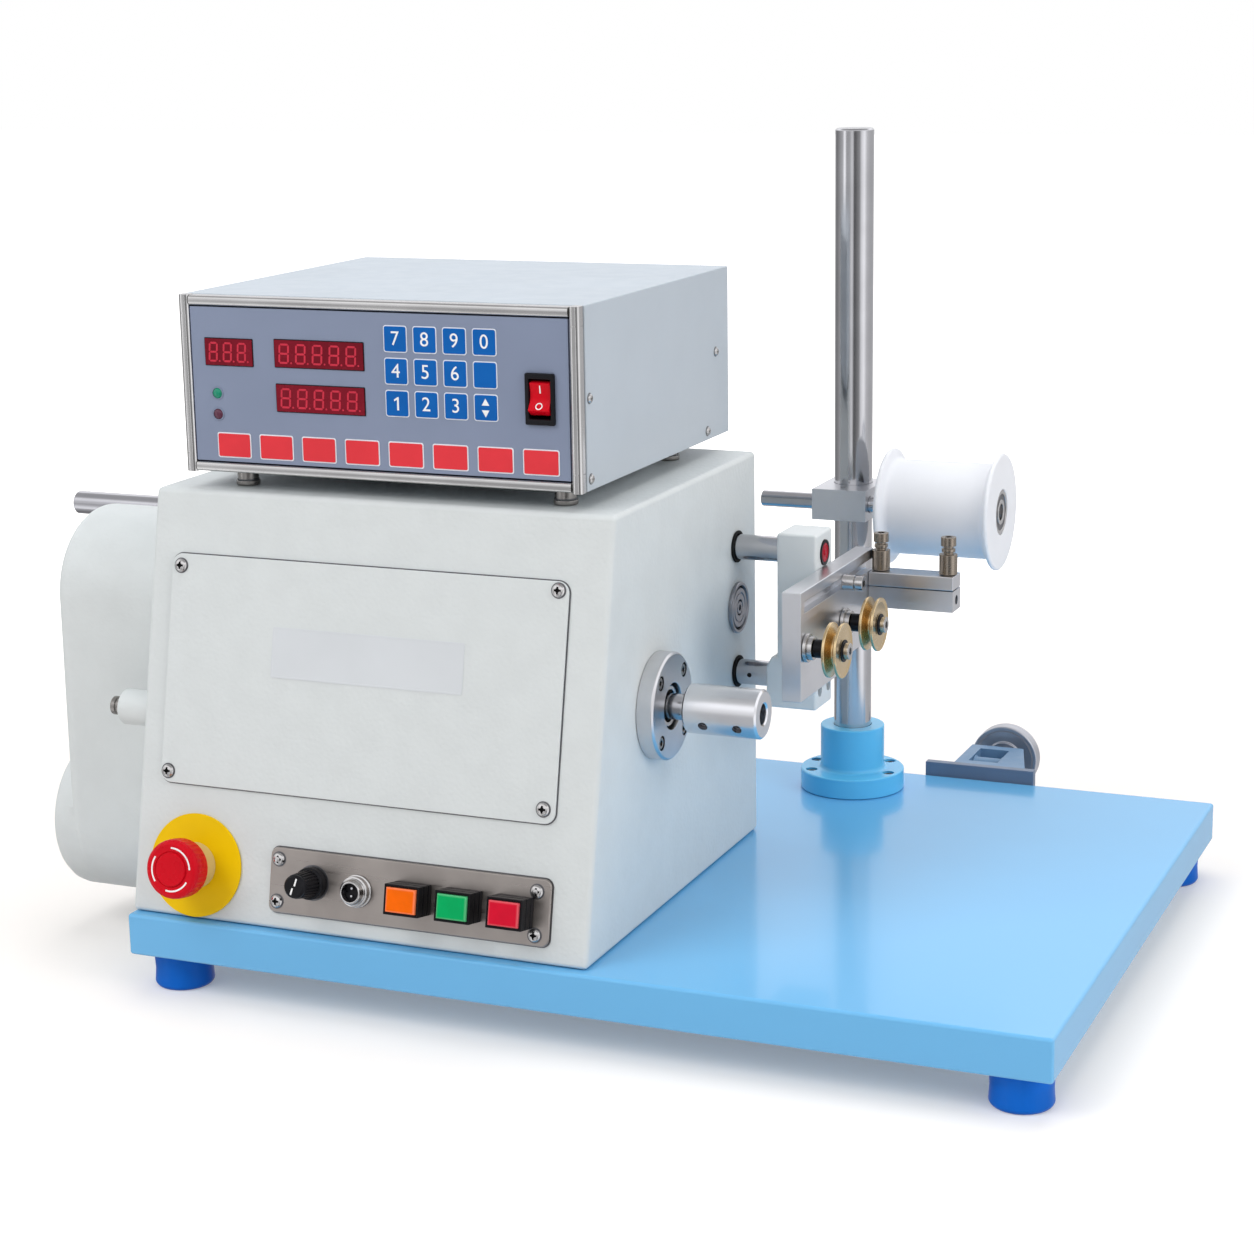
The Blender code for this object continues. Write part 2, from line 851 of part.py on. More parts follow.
def make_knob(seat, face, look):
    """Fluted speed knob with a pointer groove."""
    profile = [(0, knob_height), (knob_tip_radius - knob_tip_round, knob_height),
               (knob_tip_radius, knob_height - knob_tip_round), (knob_grip_radius, knob_skirt_height),
               (knob_skirt_radius, knob_skirt_height * knob_bevel_share), (knob_skirt_radius, 0), (0, 0)]
    knob = turned("speed_knob", profile, (knob_u, knob_v, seat), face, look["black"])
    shape = bmesh.new()
    for flute in range(knob_flute_count):
        angle = 2 * pi * flute / knob_flute_count
        reach = knob_grip_radius + knob_flute_radius / 4
        spot = Matrix.Translation((reach * cos(angle), reach * sin(angle), 0))
        bmesh.ops.create_cone(shape, cap_ends=True, segments=6, radius1=knob_flute_radius,
                              radius2=knob_flute_radius, depth=knob_height - knob_skirt_height, matrix=spot)
    mesh = bpy.data.meshes.new("knob_flutes")
    shape.to_mesh(mesh)
    shape.free()
    middle = seat + (knob_height + knob_skirt_height) / 2
    combine(knob, part_object("knob_flutes", mesh, (knob_u, knob_v, middle), face))
    top = seat + knob_height
    pocket(knob, "knob_pointer", (knob_u - knob_pointer_width / 2, knob_v, top - knob_pointer_depth),
           (knob_u + knob_pointer_width / 2, knob_v + knob_tip_radius * knob_pointer_share,
            top + overrun), face)


def make_estop(face, look):
    """Emergency stop: legend, body, plunger that is pushed in and head that twists on it."""
    hole = estop_barrel_radius + fit_gap
    low, high = fit_gap, fit_gap + legend_thickness
    ring = [(hole, high), (legend_radius, high), (legend_radius, low), (hole, low)]
    turned("estop_legend", ring, (estop_u, estop_v, 0), face, look["yellow"], steps=large_steps,
           closed=True)

    bore = estop_stem_radius + fit_gap
    floor = -estop_stem_depth - estop_travel - fit_gap
    seat = high + fit_gap
    body = [(0, floor), (bore, floor), (bore, estop_collar_top), (estop_collar_radius, estop_collar_top),
            (estop_collar_radius, seat), (estop_barrel_radius, seat),
            (estop_barrel_radius, -estop_barrel_depth), (0, -estop_barrel_depth)]
    turned("estop_body", body, (estop_u, estop_v, 0), face, look["cream"], steps=small_steps)

    push = joint_frame("estop_push", (estop_u, estop_v, 0), face)
    recess = estop_collar_top + estop_travel + fit_gap * 2
    stem_top = recess + estop_socket_depth
    stem = [(0, stem_top - fit_gap), (estop_socket_radius, stem_top - fit_gap),
            (estop_socket_radius, recess - fit_gap),
            (estop_stem_radius, recess - fit_gap), (estop_stem_radius, -estop_stem_depth), (0,
                                                                                            -estop_stem_depth)]
    turned("estop_plunger", stem, (estop_u, estop_v, 0), push, look["black"], steps=small_steps)

    twist = joint_frame("estop_twist", (estop_u, estop_v, 0), push)
    inner = estop_collar_radius + fit_gap * 2
    socket = estop_socket_radius + fit_gap
    face_low = estop_head_top - estop_disc_rise
    crown = estop_head_radius - estop_head_crown
    head = [(0, estop_head_top), (estop_disc_radius, estop_head_top),
            (estop_disc_radius + estop_disc_rise, face_low),
            (crown, face_low), (estop_head_radius, face_low - estop_head_crown),
            (estop_head_radius, estop_head_low), (inner, estop_head_low), (inner, recess),
            (socket, recess), (socket, stem_top), (0, stem_top)]
    turned("estop_head", head, (estop_u, estop_v, 0), twist, look["red"])


def make_spindle(frame, look):
    """Spindle with its flange, bearing, coupling and pulley, and the belt drive."""
    at = (0, spindle_y, spindle_z)
    left = housing_width + fit_gap
    right = left + flange_thickness
    inner = left - flange_boss_depth
    seat = bearing_radius + fit_gap
    flange = [(flange_lip_radius, right), (flange_radius - flange_edge, right),
              (flange_radius, right - flange_edge),
              (flange_radius, left), (flange_boss_radius, left), (flange_boss_radius, inner),
              (seat, inner), (seat, left), (flange_lip_radius, left)]
    piece = turned("spindle_flange", flange, at, frame, look["alloy"], "x", closed=True)
    for turn in range(4):
        angle = pi / 4 + turn * pi / 2
        back = spindle_y + flange_bolt_circle * cos(angle)
        height = spindle_z + flange_bolt_circle * sin(angle)
        drill(piece, "flange_bolt_%d" % turn, flange_bolt_radius, (right - flange_bolt_sink, back, height),
              (right + overrun, back, height), frame, steps=small_steps)

    bore = spindle_radius + fit_gap
    rear, front = left - fit_gap - bearing_width, left - fit_gap
    bearing = [(bore, front), (bore + bearing_race, front), (bore + bearing_race, front - bearing_dish),
               (bearing_radius - bearing_race, front - bearing_dish), (bearing_radius - bearing_race,
                                                                       front),
               (bearing_radius, front), (bearing_radius, rear), (bore, rear)]
    turned("spindle_bearing", bearing, at, frame, look["steel"], "x", small_steps, closed=True)

    spin = joint_frame("spindle_spin", at, frame)
    shaft_end = coupling_left + coupling_seat
    rod("spindle_shaft", spindle_radius, (spindle_left, spindle_y, spindle_z),
        (shaft_end, spindle_y, spindle_z), spin, look["steel"], steps=medium_steps)

    seat_end = shaft_end + fit_gap
    edge = coupling_radius - coupling_edge
    coupling = [(coupling_bore, coupling_right), (edge, coupling_right),
                (coupling_radius, coupling_right - coupling_edge), (coupling_radius,
                                                                    coupling_left + coupling_edge),
                (edge, coupling_left), (bore, coupling_left), (bore, seat_end), (coupling_bore, seat_end)]
    sleeve = turned("spindle_coupling", coupling, at, spin, look["alloy"], "x", closed=True)
    for share in coupling_screw_shares:
        across = coupling_left + share * (coupling_right - coupling_left)
        name = "coupling_screw_%d" % round(share * 100)
        hole = rod(name, coupling_screw_radius,
                   (across, spindle_y, spindle_z + coupling_radius / 2 + bore / 2),
                   (across, spindle_y, spindle_z + coupling_radius + overrun), spin, axis="z", steps=small_steps)
        spot = Vector((0, 0, hole.location.z))
        hole.location = Vector((across, 0, 0)) + Matrix.Rotation(coupling_screw_turn + pi, 3, "X") @ spot
        hole.rotation_euler = (coupling_screw_turn + pi, 0, 0)
        combine(sleeve, hole)

    make_pulley("spindle_pulley", spindle_pulley_radius, bore, at, spin, look["alloy"])
    make_drive(frame, look)


def make_pulley(name, radius, bore, at, parent, look, shaft_end=None):
    """Flanged belt pulley; with a shaft end it carries its own shaft."""
    half = pulley_rim_width / 2
    side = half + pulley_flange_width
    lip = radius + pulley_flange_rise
    rim = [(lip, belt_plane + side), (lip, belt_plane + half), (radius, belt_plane + half),
           (radius, belt_plane - half), (lip, belt_plane - half), (lip, belt_plane - side)]
    if shaft_end is None:
        profile = [(bore, belt_plane + side)] + rim + [(bore, belt_plane - side)]
        return turned(name, profile, at, parent, look, "x", closed=True)
    profile = [(0, shaft_end), (bore, shaft_end), (bore, belt_plane + side)] + rim + [(0,
                                                                                       belt_plane - side)]
    return turned(name, profile, at, parent, look, "x")


def make_drive(frame, look):
    """Drive motor inside the housing, its pulley, the belt and the side cover."""
    at = (0, motor_y, motor_z)
    left = housing_wall + fit_gap
    right = left + motor_length
    hole = motor_shaft_radius + fit_gap
    seat = left + motor_shaft_seat
    motor = [(0, right), (motor_bell_radius, right), (motor_radius, right - motor_bell),
             (motor_radius, left + motor_bell),
             (motor_bell_radius, left), (hole, left), (hole, seat + fit_gap), (0, seat + fit_gap)]
    turned("drive_motor", motor, at, frame, look["dark_steel"], "x")
    spin = joint_frame("motor_spin", at, frame)
    make_pulley("motor_pulley", motor_pulley_radius, motor_shaft_radius, at, spin, look["alloy"], seat)

    spindle_at, motor_at = (spindle_y, spindle_z), (motor_y, motor_z)
    low, high = belt_plane - belt_width / 2, belt_plane + belt_width / 2
    grow = fit_gap + belt_thickness
    outer = belt_outline(spindle_at, spindle_pulley_radius + grow, motor_at, motor_pulley_radius + grow,
                         large_steps)
    inner = belt_outline(spindle_at, spindle_pulley_radius + fit_gap, motor_at,
                         motor_pulley_radius + fit_gap,
                         large_steps)
    belt = slab("drive_belt", outer, low, high, frame, look["rubber"], "x")
    combine(belt, slab("belt_inside", inner, low - overrun, high + overrun, frame, axis="x"))

    top_at, low_at = (cover_top_y, cover_top_z), (cover_low_y, cover_low_z)
    drum_at = (0, motor_y, drum_z)
    shell = belt_outline(top_at, cover_top_radius, low_at, cover_low_radius, large_steps)
    cover = slab("belt_cover", shell, -cover_depth, -fit_gap, frame, look["grey"], "x", rim=cover_rim)
    rim = cover_rim * (1 - cos(pi / 4))
    drum_left = -drum_depth
    drum = [(0, -fit_gap), (drum_radius, -fit_gap), (drum_radius, drum_left + cover_rim),
            (drum_radius - rim, drum_left + rim), (drum_radius - cover_rim, drum_left), (0, drum_left)]
    combine(cover, turned("drum_form", drum, drum_at, frame, axis="x", steps=large_steps), "UNION")
    hollow = belt_outline(top_at, cover_top_radius - cover_wall, low_at,
                          cover_low_radius - cover_wall, large_steps)
    combine(cover, slab("cover_inside", hollow, cover_wall - cover_depth, overrun, frame, axis="x",
                        rim=cover_rim - cover_wall))
    room = drum_radius - cover_wall
    rod_left = drum_left + cover_wall
    bite = cover_rim - cover_wall
    hollow_drum = [(0, overrun), (room, overrun), (room, rod_left + bite), (room - bite, rod_left),
                   (0, rod_left)]
    combine(cover, turned("drum_inside", hollow_drum, drum_at, frame, axis="x", steps=large_steps))


def bush(name, height, frame, look):
    """Flanged bush for a traverse rod in the right wall."""
    bore = rod_radius + fit_gap
    left = housing_width + fit_gap
    profile = [(bore, left + bush_flange_proud), (bush_flange_radius, left + bush_flange_proud),
               (bush_flange_radius, left), (bush_radius, left), (bush_radius, left - bush_depth), (bore,
                                                                                                   left - bush_depth)]
    turned(name, profile, (0, rod_y, height), frame, look["rubber"], "x", small_steps, closed=True)


def make_traverse(frame, look):
    """Rods, bushes, lead screw, nut and motor that move the guide head along the spindle."""
    bush("rod_bush_upper", rod_upper_z, frame, look)
    bush("rod_bush_lower", rod_lower_z, frame, look)
    left = housing_width + fit_gap
    top = left + screw_plate_proud
    groove = top - screw_ring_rise
    wide, middle, slim = [share * screw_plate_radius for share in screw_ring_shares]
    bore = screw_radius + fit_gap
    plate = [(0, top), (slim, top), (slim, groove), (middle, groove), (middle, top), (wide, top),
             (wide, groove),
             (screw_plate_radius, groove), (screw_plate_radius, left), (screw_hub_radius, left),
             (screw_hub_radius, left - screw_hub_depth), (bore, left - screw_hub_depth),
             (bore, screw_right + fit_gap), (0, screw_right + fit_gap)]
    turned("screw_bearing", plate, (0, rod_y, screw_z), frame, look["dark_steel"], "x")

    half = traverse_motor_side / 2
    motor = block("traverse_motor", (traverse_motor_left, rod_y - half, screw_z - half),
                  (traverse_motor_right, rod_y + half,
                   screw_z + half), frame, look["dark_steel"], traverse_edge)
    wide = traverse_bracket_side / 2
    foot = block("motor_bracket", (housing_wall + fit_gap, rod_y - half, screw_z - wide / 2),
                 (traverse_motor_left + traverse_bracket_thickness, rod_y + half,
                  screw_z + wide / 2), frame)
    combine(motor, foot, "UNION")
    drill(motor, "motor_bore", bore, (screw_left - fit_gap, rod_y, screw_z),
          (traverse_motor_right + overrun, rod_y, screw_z), frame)

    turn = joint_frame("lead_screw_turn", (0, rod_y, screw_z), frame)
    rod("lead_screw", screw_radius, (screw_left, rod_y, screw_z), (screw_right, rod_y, screw_z), turn,
        look["steel"])

    slide = joint_frame("traverse_slide", (0, rod_y, screw_z), frame, (-traverse_back, traverse_out))
    rods = (("guide_rod_upper", rod_upper_left, block_right - block_upper_web - fit_gap, rod_upper_z),
            ("guide_rod_lower", rod_lower_left, block_right - block_lower_web - fit_gap, rod_lower_z))
    for name, start, end, height in rods:
        edge = rod_radius - rod_edge
        profile = [(0, end), (edge, end), (rod_radius, end - rod_edge),
                   (rod_radius, start + rod_edge), (edge, start), (0, start)]
        turned(name, profile, (0, rod_y, height), slide, look["steel"], "x")

    nut = block("nut_bracket", (nut_left, rod_y - nut_half_depth, rod_lower_z - nut_margin),
                (nut_left + nut_length, rod_y + nut_half_depth, rod_upper_z + nut_margin),
                slide, look["alloy"], traverse_edge)
    for name, radius, height in (("nut_upper", rod_radius, rod_upper_z),
                                 ("nut_lower", rod_radius, rod_lower_z),
                                 ("nut_screw", screw_radius, screw_z)):
        drill(nut, name, radius + fit_gap, (nut_left - overrun, rod_y, height),
              (nut_left + nut_length + overrun, rod_y, height), slide)
    make_guide_head(slide, look)


def make_guide_head(slide, look):
    """Guide block on the rods, the plate on it, and what the plate carries."""
    chamfer = block_step_chamfer
    outline = [(block_step_left, block_low), (block_right, block_low), (block_right, block_high),
               (block_left, block_high), (block_left, block_step_top), (block_step_left + chamfer,
                                                                        block_step_top),
               (block_step_left, block_step_top - chamfer * 2)]
    head = slab("guide_block", outline, block_front, block_back, slide, look["grey"], "y", block_edge)
    for name, height, web in (("block_upper", rod_upper_z, block_upper_web),
                              ("block_lower", rod_lower_z, block_lower_web)):
        drill(head, name, rod_radius + fit_gap, (block_step_left - overrun, rod_y, height),
              (block_right - web, rod_y, height), slide)
    for share in block_hole_y_shares:
        back = block_front + share * (block_back - block_front)
        name = "block_clamp_%d" % round(share * 100)
        drill(head, name, block_hole_radius, (block_right - block_hole_depth, back,
                                              block_low + block_hole_rise),
              (block_right + overrun, back, block_low + block_hole_rise), slide)

    depth = plate_back - plate_front
    cut_start = plate_front + plate_cut_start_share * depth
    cut_end = plate_front + plate_cut_end_share * depth
    raised = plate_low + plate_cut_rise
    outline = [(plate_front, plate_low), (cut_start, plate_low), (cut_end, raised), (plate_back, raised),
               (plate_back, plate_high), (plate_front, plate_high)]
    plate = slab("guide_plate", outline, plate_left, plate_right, slide, look["alloy"], "x", plate_edge)
    pocket(plate, "slide_slot", (plate_right - slot_depth, slot_start, slot_low),
           (plate_right + overrun, plate_back + overrun, slot_high), slide)
    for name, back in (("front", axle_front_y), ("rear", axle_rear_y)):
        reach = axle_shank_radius + fit_gap
        outline = belt_outline((back, axle_z - axle_travel), reach + merge_limit,
                               (back, axle_z + axle_travel), reach,
                               small_steps)
        cutter = slab("axle_slot_" + name, outline, plate_left - overrun, plate_right + overrun, slide,
                      axis="x")
        combine(plate, cutter)
        make_wire_pulley(name, back, slide, look)
    make_wire_clamp(slide, look)


def make_wire_pulley(name, back, slide, look):
    """Grooved wire pulley on an axle whose height is set in the plate's slot."""
    at = (0, back, axle_z)
    height = joint_frame("axle_height_" + name, at, slide)
    washer = plate_right + fit_gap
    neck = washer + axle_washer
    body = neck + axle_neck
    shoulder = washer + axle_length
    right = shoulder + wire_pulley_width + fit_gap * 2
    end = right + axle_head
    bore = axle_journal_radius
    axle = [(0, end), (axle_head_radius - axle_edge, end), (axle_head_radius, end - axle_edge),
            (axle_head_radius, right),
            (bore, right), (bore, shoulder), (axle_radius, shoulder), (axle_radius,
                                                                       body), (axle_neck_radius, body),
            (axle_neck_radius, neck), (axle_washer_radius, neck), (axle_washer_radius, washer),
            (axle_shank_radius, washer), (axle_shank_radius, plate_left + fit_gap), (0,
                                                                                     plate_left + fit_gap)]
    turned("pulley_axle_" + name, axle, at, height, look["dark_steel"], "x", small_steps)

    spin = joint_frame("pulley_spin_" + name, at, height)
    low, high = shoulder + fit_gap, shoulder + fit_gap + wire_pulley_width
    middle = (low + high) / 2
    hole = bore + fit_gap
    pulley = [(hole, high), (wire_pulley_radius - wire_pulley_rim / 2, high),
              (wire_pulley_radius, high - wire_pulley_rim), (wire_pulley_groove, middle),
              (wire_pulley_radius, low + wire_pulley_rim), (wire_pulley_radius - wire_pulley_rim / 2,
                                                            low), (hole, low)]
    turned("wire_pulley_" + name, pulley, at, spin, look["brass"], "x", closed=True)


def make_wire_clamp(slide, look):
    """Wire clamp: a fixed bar, a jaw bar on it and two thumb screws."""
    right = arm_left + arm_length
    middle = (arm_front + arm_back) / 2
    adjust = joint_frame("clamp_arm_adjust", (arm_left, middle, arm_split), slide, (-arm_adjust, 0.0))
    bar = block("clamp_bar_lower", (arm_left, arm_front, arm_low), (right, arm_back, arm_split),
                adjust, look["alloy"], arm_edge)
    lift = joint_frame("clamp_jaw_lift", (arm_left, middle, arm_split), adjust, (0.0, jaw_lift))
    jaw = block("clamp_bar_upper", (arm_left, arm_front, arm_split + arm_gap), (right, arm_back, arm_high),
                lift, look["alloy"], arm_edge)
    drill(bar, "wire_eye", arm_eye_radius, (right - arm_eye_depth, middle, (arm_low + arm_split) / 2),
          (right + overrun, middle, (arm_low + arm_split) / 2), adjust, steps=small_steps)

    hole = thumb_shank_radius + fit_gap
    seat = arm_high + fit_gap
    tip = seat - thumb_shank_depth
    sleeve = seat + thumb_sleeve
    ring_low = sleeve + thumb_neck
    ring = ring_low + thumb_ring
    head_low = ring + thumb_neck
    top = head_low + thumb_head
    profile = [(0, top), (thumb_head_radius - thumb_edge, top), (thumb_head_radius, top - thumb_edge),
               (thumb_head_radius, head_low), (thumb_neck_radius, head_low), (thumb_neck_radius, ring),
               (thumb_ring_radius, ring), (thumb_ring_radius, ring_low), (thumb_neck_radius, ring_low),
               (thumb_neck_radius, sleeve), (thumb_sleeve_radius - thumb_edge, sleeve),
               (thumb_sleeve_radius, sleeve - thumb_edge), (thumb_sleeve_radius, seat),
               (thumb_shank_radius, seat), (thumb_shank_radius, tip), (0, tip)]
    for name, across in (("left", arm_left + thumb_inset), ("right", right - thumb_inset)):
        drill(jaw, "jaw_hole_" + name, hole, (across, middle, arm_split - overrun),
              (across, middle, arm_high + overrun), lift, "z", small_steps)
        drill(bar, "bar_hole_" + name, hole, (across, middle, tip - fit_gap),
              (across, middle, arm_split + overrun), adjust, "z", small_steps)
        turn = joint_frame("thumb_turn_" + name, (across, middle, 0), lift)
        turned("thumb_screw_" + name, profile, (across, middle, 0), turn, look["nickel"], steps=small_steps)


def make_post(frame, look):
    """Post in its flange, with the clamp block, its axle and the supply roller."""
    at = (post_x, post_y, 0)
    bore = post_radius + fit_gap
    round_off = post_edge_round
    flange = [(0, post_floor), (bore, post_floor), (bore, post_collar_top),
              (post_collar_radius - round_off, post_collar_top),
              (post_collar_radius, post_collar_top - round_off), (post_collar_radius, post_flange_height),
              (post_flange_radius - round_off, post_flange_height), (post_flange_radius,
                                                                     post_flange_height - round_off),
              (post_flange_radius, fit_gap), (0, fit_gap)]
    piece = turned("post_flange", flange, at, frame, look["sky"], steps=large_steps)
    for turn in range(4):
        angle = pi / 4 + turn * pi / 2
        across = post_x + post_bolt_circle * cos(angle)
        back = post_y + post_bolt_circle * sin(angle)
        drill(piece, "post_bolt_%d" % turn, post_bolt_radius,
              (across, back, post_flange_height - post_bolt_depth),
              (across, back, post_flange_height + overrun), frame, "z", small_steps)

    swivel = joint_frame("post_swivel", at, frame)
    low = post_floor + fit_gap
    profile = [(0, post_top), (post_radius - post_edge, post_top), (post_radius, post_top - post_edge),
               (post_radius, low), (0, low)]
    turned("post", profile, at, swivel, look["steel"], steps=medium_steps)

    height = joint_frame("clamp_height", (post_x, post_y, roller_z), swivel, (-clamp_drop, clamp_lift))
    clamp = block("clamp_block", (post_x - clamp_half_width, post_y - clamp_front_reach, clamp_low),
                  (post_x + clamp_half_width, post_y + clamp_back_reach,
                   clamp_high), height, look["alloy"], clamp_edge)
    drill(clamp, "post_bore", bore, (post_x, post_y, clamp_low - overrun),
          (post_x, post_y, clamp_high + overrun),
          height, "z", medium_steps)
    side = clamp_half_width + overrun
    drill(clamp, "axle_bore", axle_rod_radius + fit_gap, (post_x - side, roller_y, roller_z),
          (post_x + side, roller_y, roller_z), height)
    drill(clamp, "clamp_screw_hole", clamp_screw_radius,
          (post_x, roller_y, clamp_high - clamp_screw_depth / 2),
          (post_x, roller_y, clamp_high + overrun), height, "z", small_steps)

    reach = joint_frame("axle_reach", (0, roller_y, roller_z), height, (-axle_rod_in, axle_rod_out))
    slim = axle_rod_radius - axle_rod_edge
    axle = [(0, axle_rod_right), (slim, axle_rod_right), (axle_rod_radius, axle_rod_right - axle_rod_edge),
            (axle_rod_radius, axle_rod_left + axle_rod_edge), (slim, axle_rod_left), (0, axle_rod_left)]
    turned("roller_axle", axle, (0, roller_y, roller_z), reach, look["steel"], "x", small_steps)

    spin = joint_frame("roller_spin", (0, roller_y, roller_z), reach)
    hole = axle_rod_radius + fit_gap
    outer = roller_flange_radius
    rim = roller_rim_round
    half = [(roller_seat_radius, 0), (outer - rim, 0), (outer, rim), (outer, roller_rim - rim),
            (outer - rim, roller_rim), (roller_barrel_radius, roller_root)]
    right_side = [(radius, roller_right - inset) for radius, inset in half]
    left_side = [(radius, roller_left + inset) for radius, inset in reversed(half)]
    right_seat = roller_right - roller_seat_depth
    left_seat = roller_left + roller_seat_depth
    roller = ([(hole, right_seat), (roller_seat_radius, right_seat)] + right_side + left_side
              + [(roller_seat_radius, left_seat), (hole, left_seat)])
    turned("supply_roller", roller, (0, roller_y, roller_z), spin, look["white"], "x", large_steps,
           closed=True)


def make_rear(frame, look):
    """Bracket on the base plate's rear edge with its handwheel."""
    block("rear_plate", (rear_plate_left, rear_plate_front, rear_plate_low),
          (rear_plate_right, rear_plate_front + rear_plate_thickness,
           rear_plate_high), frame, look["alloy"], rear_plate_edge)
    back = rear_block_front + rear_block_depth
    outline = [(rear_block_left, rear_block_front), (rear_block_right, rear_block_front),
               (rear_block_back_right, back), (rear_block_left, back)]
    body = slab("rear_bracket", outline, rear_block_low, rear_block_high, frame, look["bracket"],
                edge=rear_block_edge)
    pocket(body, "rear_window",
           (rear_block_left + rear_window_margin_x, rear_block_front + rear_window_margin_y,
            rear_block_high - rear_window_depth),
           (rear_block_back_right - rear_window_margin_x, back - rear_window_margin_y,
            rear_block_high + overrun), frame)
    across = wheel_x
    hole = wheel_shaft_radius + fit_gap
    drill(body, "wheel_bore", hole, (across, back - wheel_shaft_seat - fit_gap, wheel_z),
          (across, back + overrun, wheel_z), frame, "y")
    spin = joint_frame("handwheel_spin", (across, back, wheel_z), frame)
    edge, rim = wheel_edge, wheel_radius
    dish = wheel_back - wheel_dish
    wheel = [(0, wheel_back), (wheel_hub_radius, wheel_back), (wheel_hub_radius, dish),
             (wheel_dish_radius, dish),
             (wheel_dish_radius, wheel_back), (rim - edge, wheel_back), (rim, wheel_back - edge),
             (rim, wheel_front + edge), (rim - edge, wheel_front), (wheel_hub_radius, wheel_front),
             (wheel_hub_radius, back + fit_gap), (wheel_shaft_radius, back + fit_gap),
             (wheel_shaft_radius, back - wheel_shaft_seat), (0, back - wheel_shaft_seat)]
    turned("rear_handwheel", wheel, (across, 0, wheel_z), spin, look["alloy"], "y")


def make_controller(frame, look):
    """Controller box: tray on four feet, wrap-around cover, bezel, panel and power rocker."""
    right = box_left + box_width
    front = box_front + bezel_depth + fit_gap
    outer = rounded_rectangle(box_left, box_low, right, box_high, box_edge)
    cover = slab("controller_cover", outer, front, box_back, frame, look["shell"], "y")
    inner_left, inner_right = box_left + box_sheet, right - box_sheet
    pocket(cover, "cover_room", (inner_left, front - overrun, box_low - overrun),
           (inner_right, box_back + overrun, box_high - box_sheet), frame)

    left, far = inner_left + fit_gap, inner_right - fit_gap
    top = box_high - box_sheet - fit_gap
    floor = box_low + tray_thickness
    wall = box_back - tray_thickness
    shape = [(front, box_low), (box_back, box_low), (box_back, top), (wall, top), (wall, floor),
             (front, floor)]
    tray = slab("controller_tray", shape, left, far, frame, look["shell"], "x")
    bottom = housing_height + fit_gap
    pad = bottom + box_foot_pad
    foot = [(0, floor - tray_thickness / 2), (box_foot_post_radius, floor - tray_thickness / 2),
            (box_foot_post_radius, pad), (box_foot_radius, pad), (box_foot_radius, bottom), (0, bottom)]
    spots = grid((box_left + box_foot_inset_left, right - box_foot_inset_right),
                 (box_front + box_foot_inset_front, housing_rear - box_foot_inset_back))
    for order, (across, back) in enumerate(spots):
        combine(tray, turned("tray_foot_%d" % order, foot, (across, back, 0), frame, steps=small_steps),
                "UNION")

    frame_outline = rounded_rectangle(box_left, box_low, right, box_high, box_edge)
    bezel = slab("controller_bezel", frame_outline, box_front, box_front + bezel_depth, frame,
                 look["brushed"], "y", bezel_edge)
    hole_left, hole_right = box_left + bezel_band, right - bezel_band
    hole_low, hole_high = box_low + bezel_band, box_high - bezel_band
    pocket(bezel, "bezel_opening", (hole_left, box_front - overrun, hole_low),
           (hole_right, box_front + bezel_depth + overrun, hole_high), frame)

    panel_front = box_front + panel_recess
    panel = block("front_panel", (hole_left + fit_gap, panel_front, hole_low + fit_gap),
                  (hole_right - fit_gap, panel_front + panel_thickness,
                   hole_high - fit_gap), frame, look["panel"])
    across = box_left + switch_u
    proud = panel_front - switch_proud
    housing_back = panel_front + switch_depth
    switch = block("switch_body", (across - switch_half_width, proud, switch_z - switch_half_height),
                   (across + switch_half_width, housing_back, switch_z + switch_half_height), frame)
    add_bevel(switch, switch_edge)
    combine(panel, switch, "UNION")
    room_x = rocker_half_width + fit_gap
    room_z = rocker_half_height + rocker_swing_room
    pocket(panel, "switch_room", (across - room_x, proud - overrun, switch_z - room_z),
           (across + room_x, housing_back - switch_wall, switch_z + room_z), frame)
    pivot_y = panel_front + rocker_back + rocker_throw * rocker_half_height
    pivot = joint_frame("rocker_swing", (across, pivot_y, switch_z), frame)
    tip, waist, back = rocker_tip, rocker_waist, rocker_back
    outline = [(back, -rocker_half_height), (back, rocker_half_height), (-tip, rocker_half_height),
               (-waist, 0), (-tip, -rocker_half_height)]
    lean = Matrix.Rotation(-rocker_throw, 2)
    pressed = [lean @ Vector(point) for point in outline]
    rocker = slab("power_rocker", pressed, -rocker_half_width, rocker_half_width, pivot, look["red"],
                  "x", sheet_edge)
    place(rocker, (across, pivot_y, switch_z), pivot)


def build():
    """Builds the whole machine in its own frame."""
    clear_scene()
    look = make_looks()
    middle_x = (rod_upper_left + base_width) / 2
    crown_v = estop_v - estop_head_radius + estop_head_crown
    head_front = housing_front + crown_v * sin(slope_angle) - (estop_head_top - estop_disc_rise) * cos(slope_angle)
    middle_y = (head_front + wheel_back) / 2
    frame = bpy.data.objects.new("machine_frame", None)
    PARTS.objects.link(frame)
    frame.location = (-middle_x, -middle_y, -floor_z)
    PLACES[frame.name] = Vector()
    face = bpy.data.objects.new("front_face", None)
    PARTS.objects.link(face)
    face.parent = frame
    face.location = (0, housing_front, 0)
    face.rotation_euler = (pi / 2 - slope_angle, 0, 0)
    PLACES[face.name] = Vector()

    make_base(frame, look)
    make_housing(frame, face, look)
    make_control_plate(face, look)
    make_estop(face, look)
    make_spindle(frame, look)
    make_traverse(frame, look)
    make_post(frame, look)
    make_rear(frame, look)
    make_controller(frame, look)
    bpy.context.view_layer.update()


build()
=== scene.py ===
from math import atan2, cos, pi, radians, sin

import bmesh
import bpy
from mathutils import Matrix, Vector


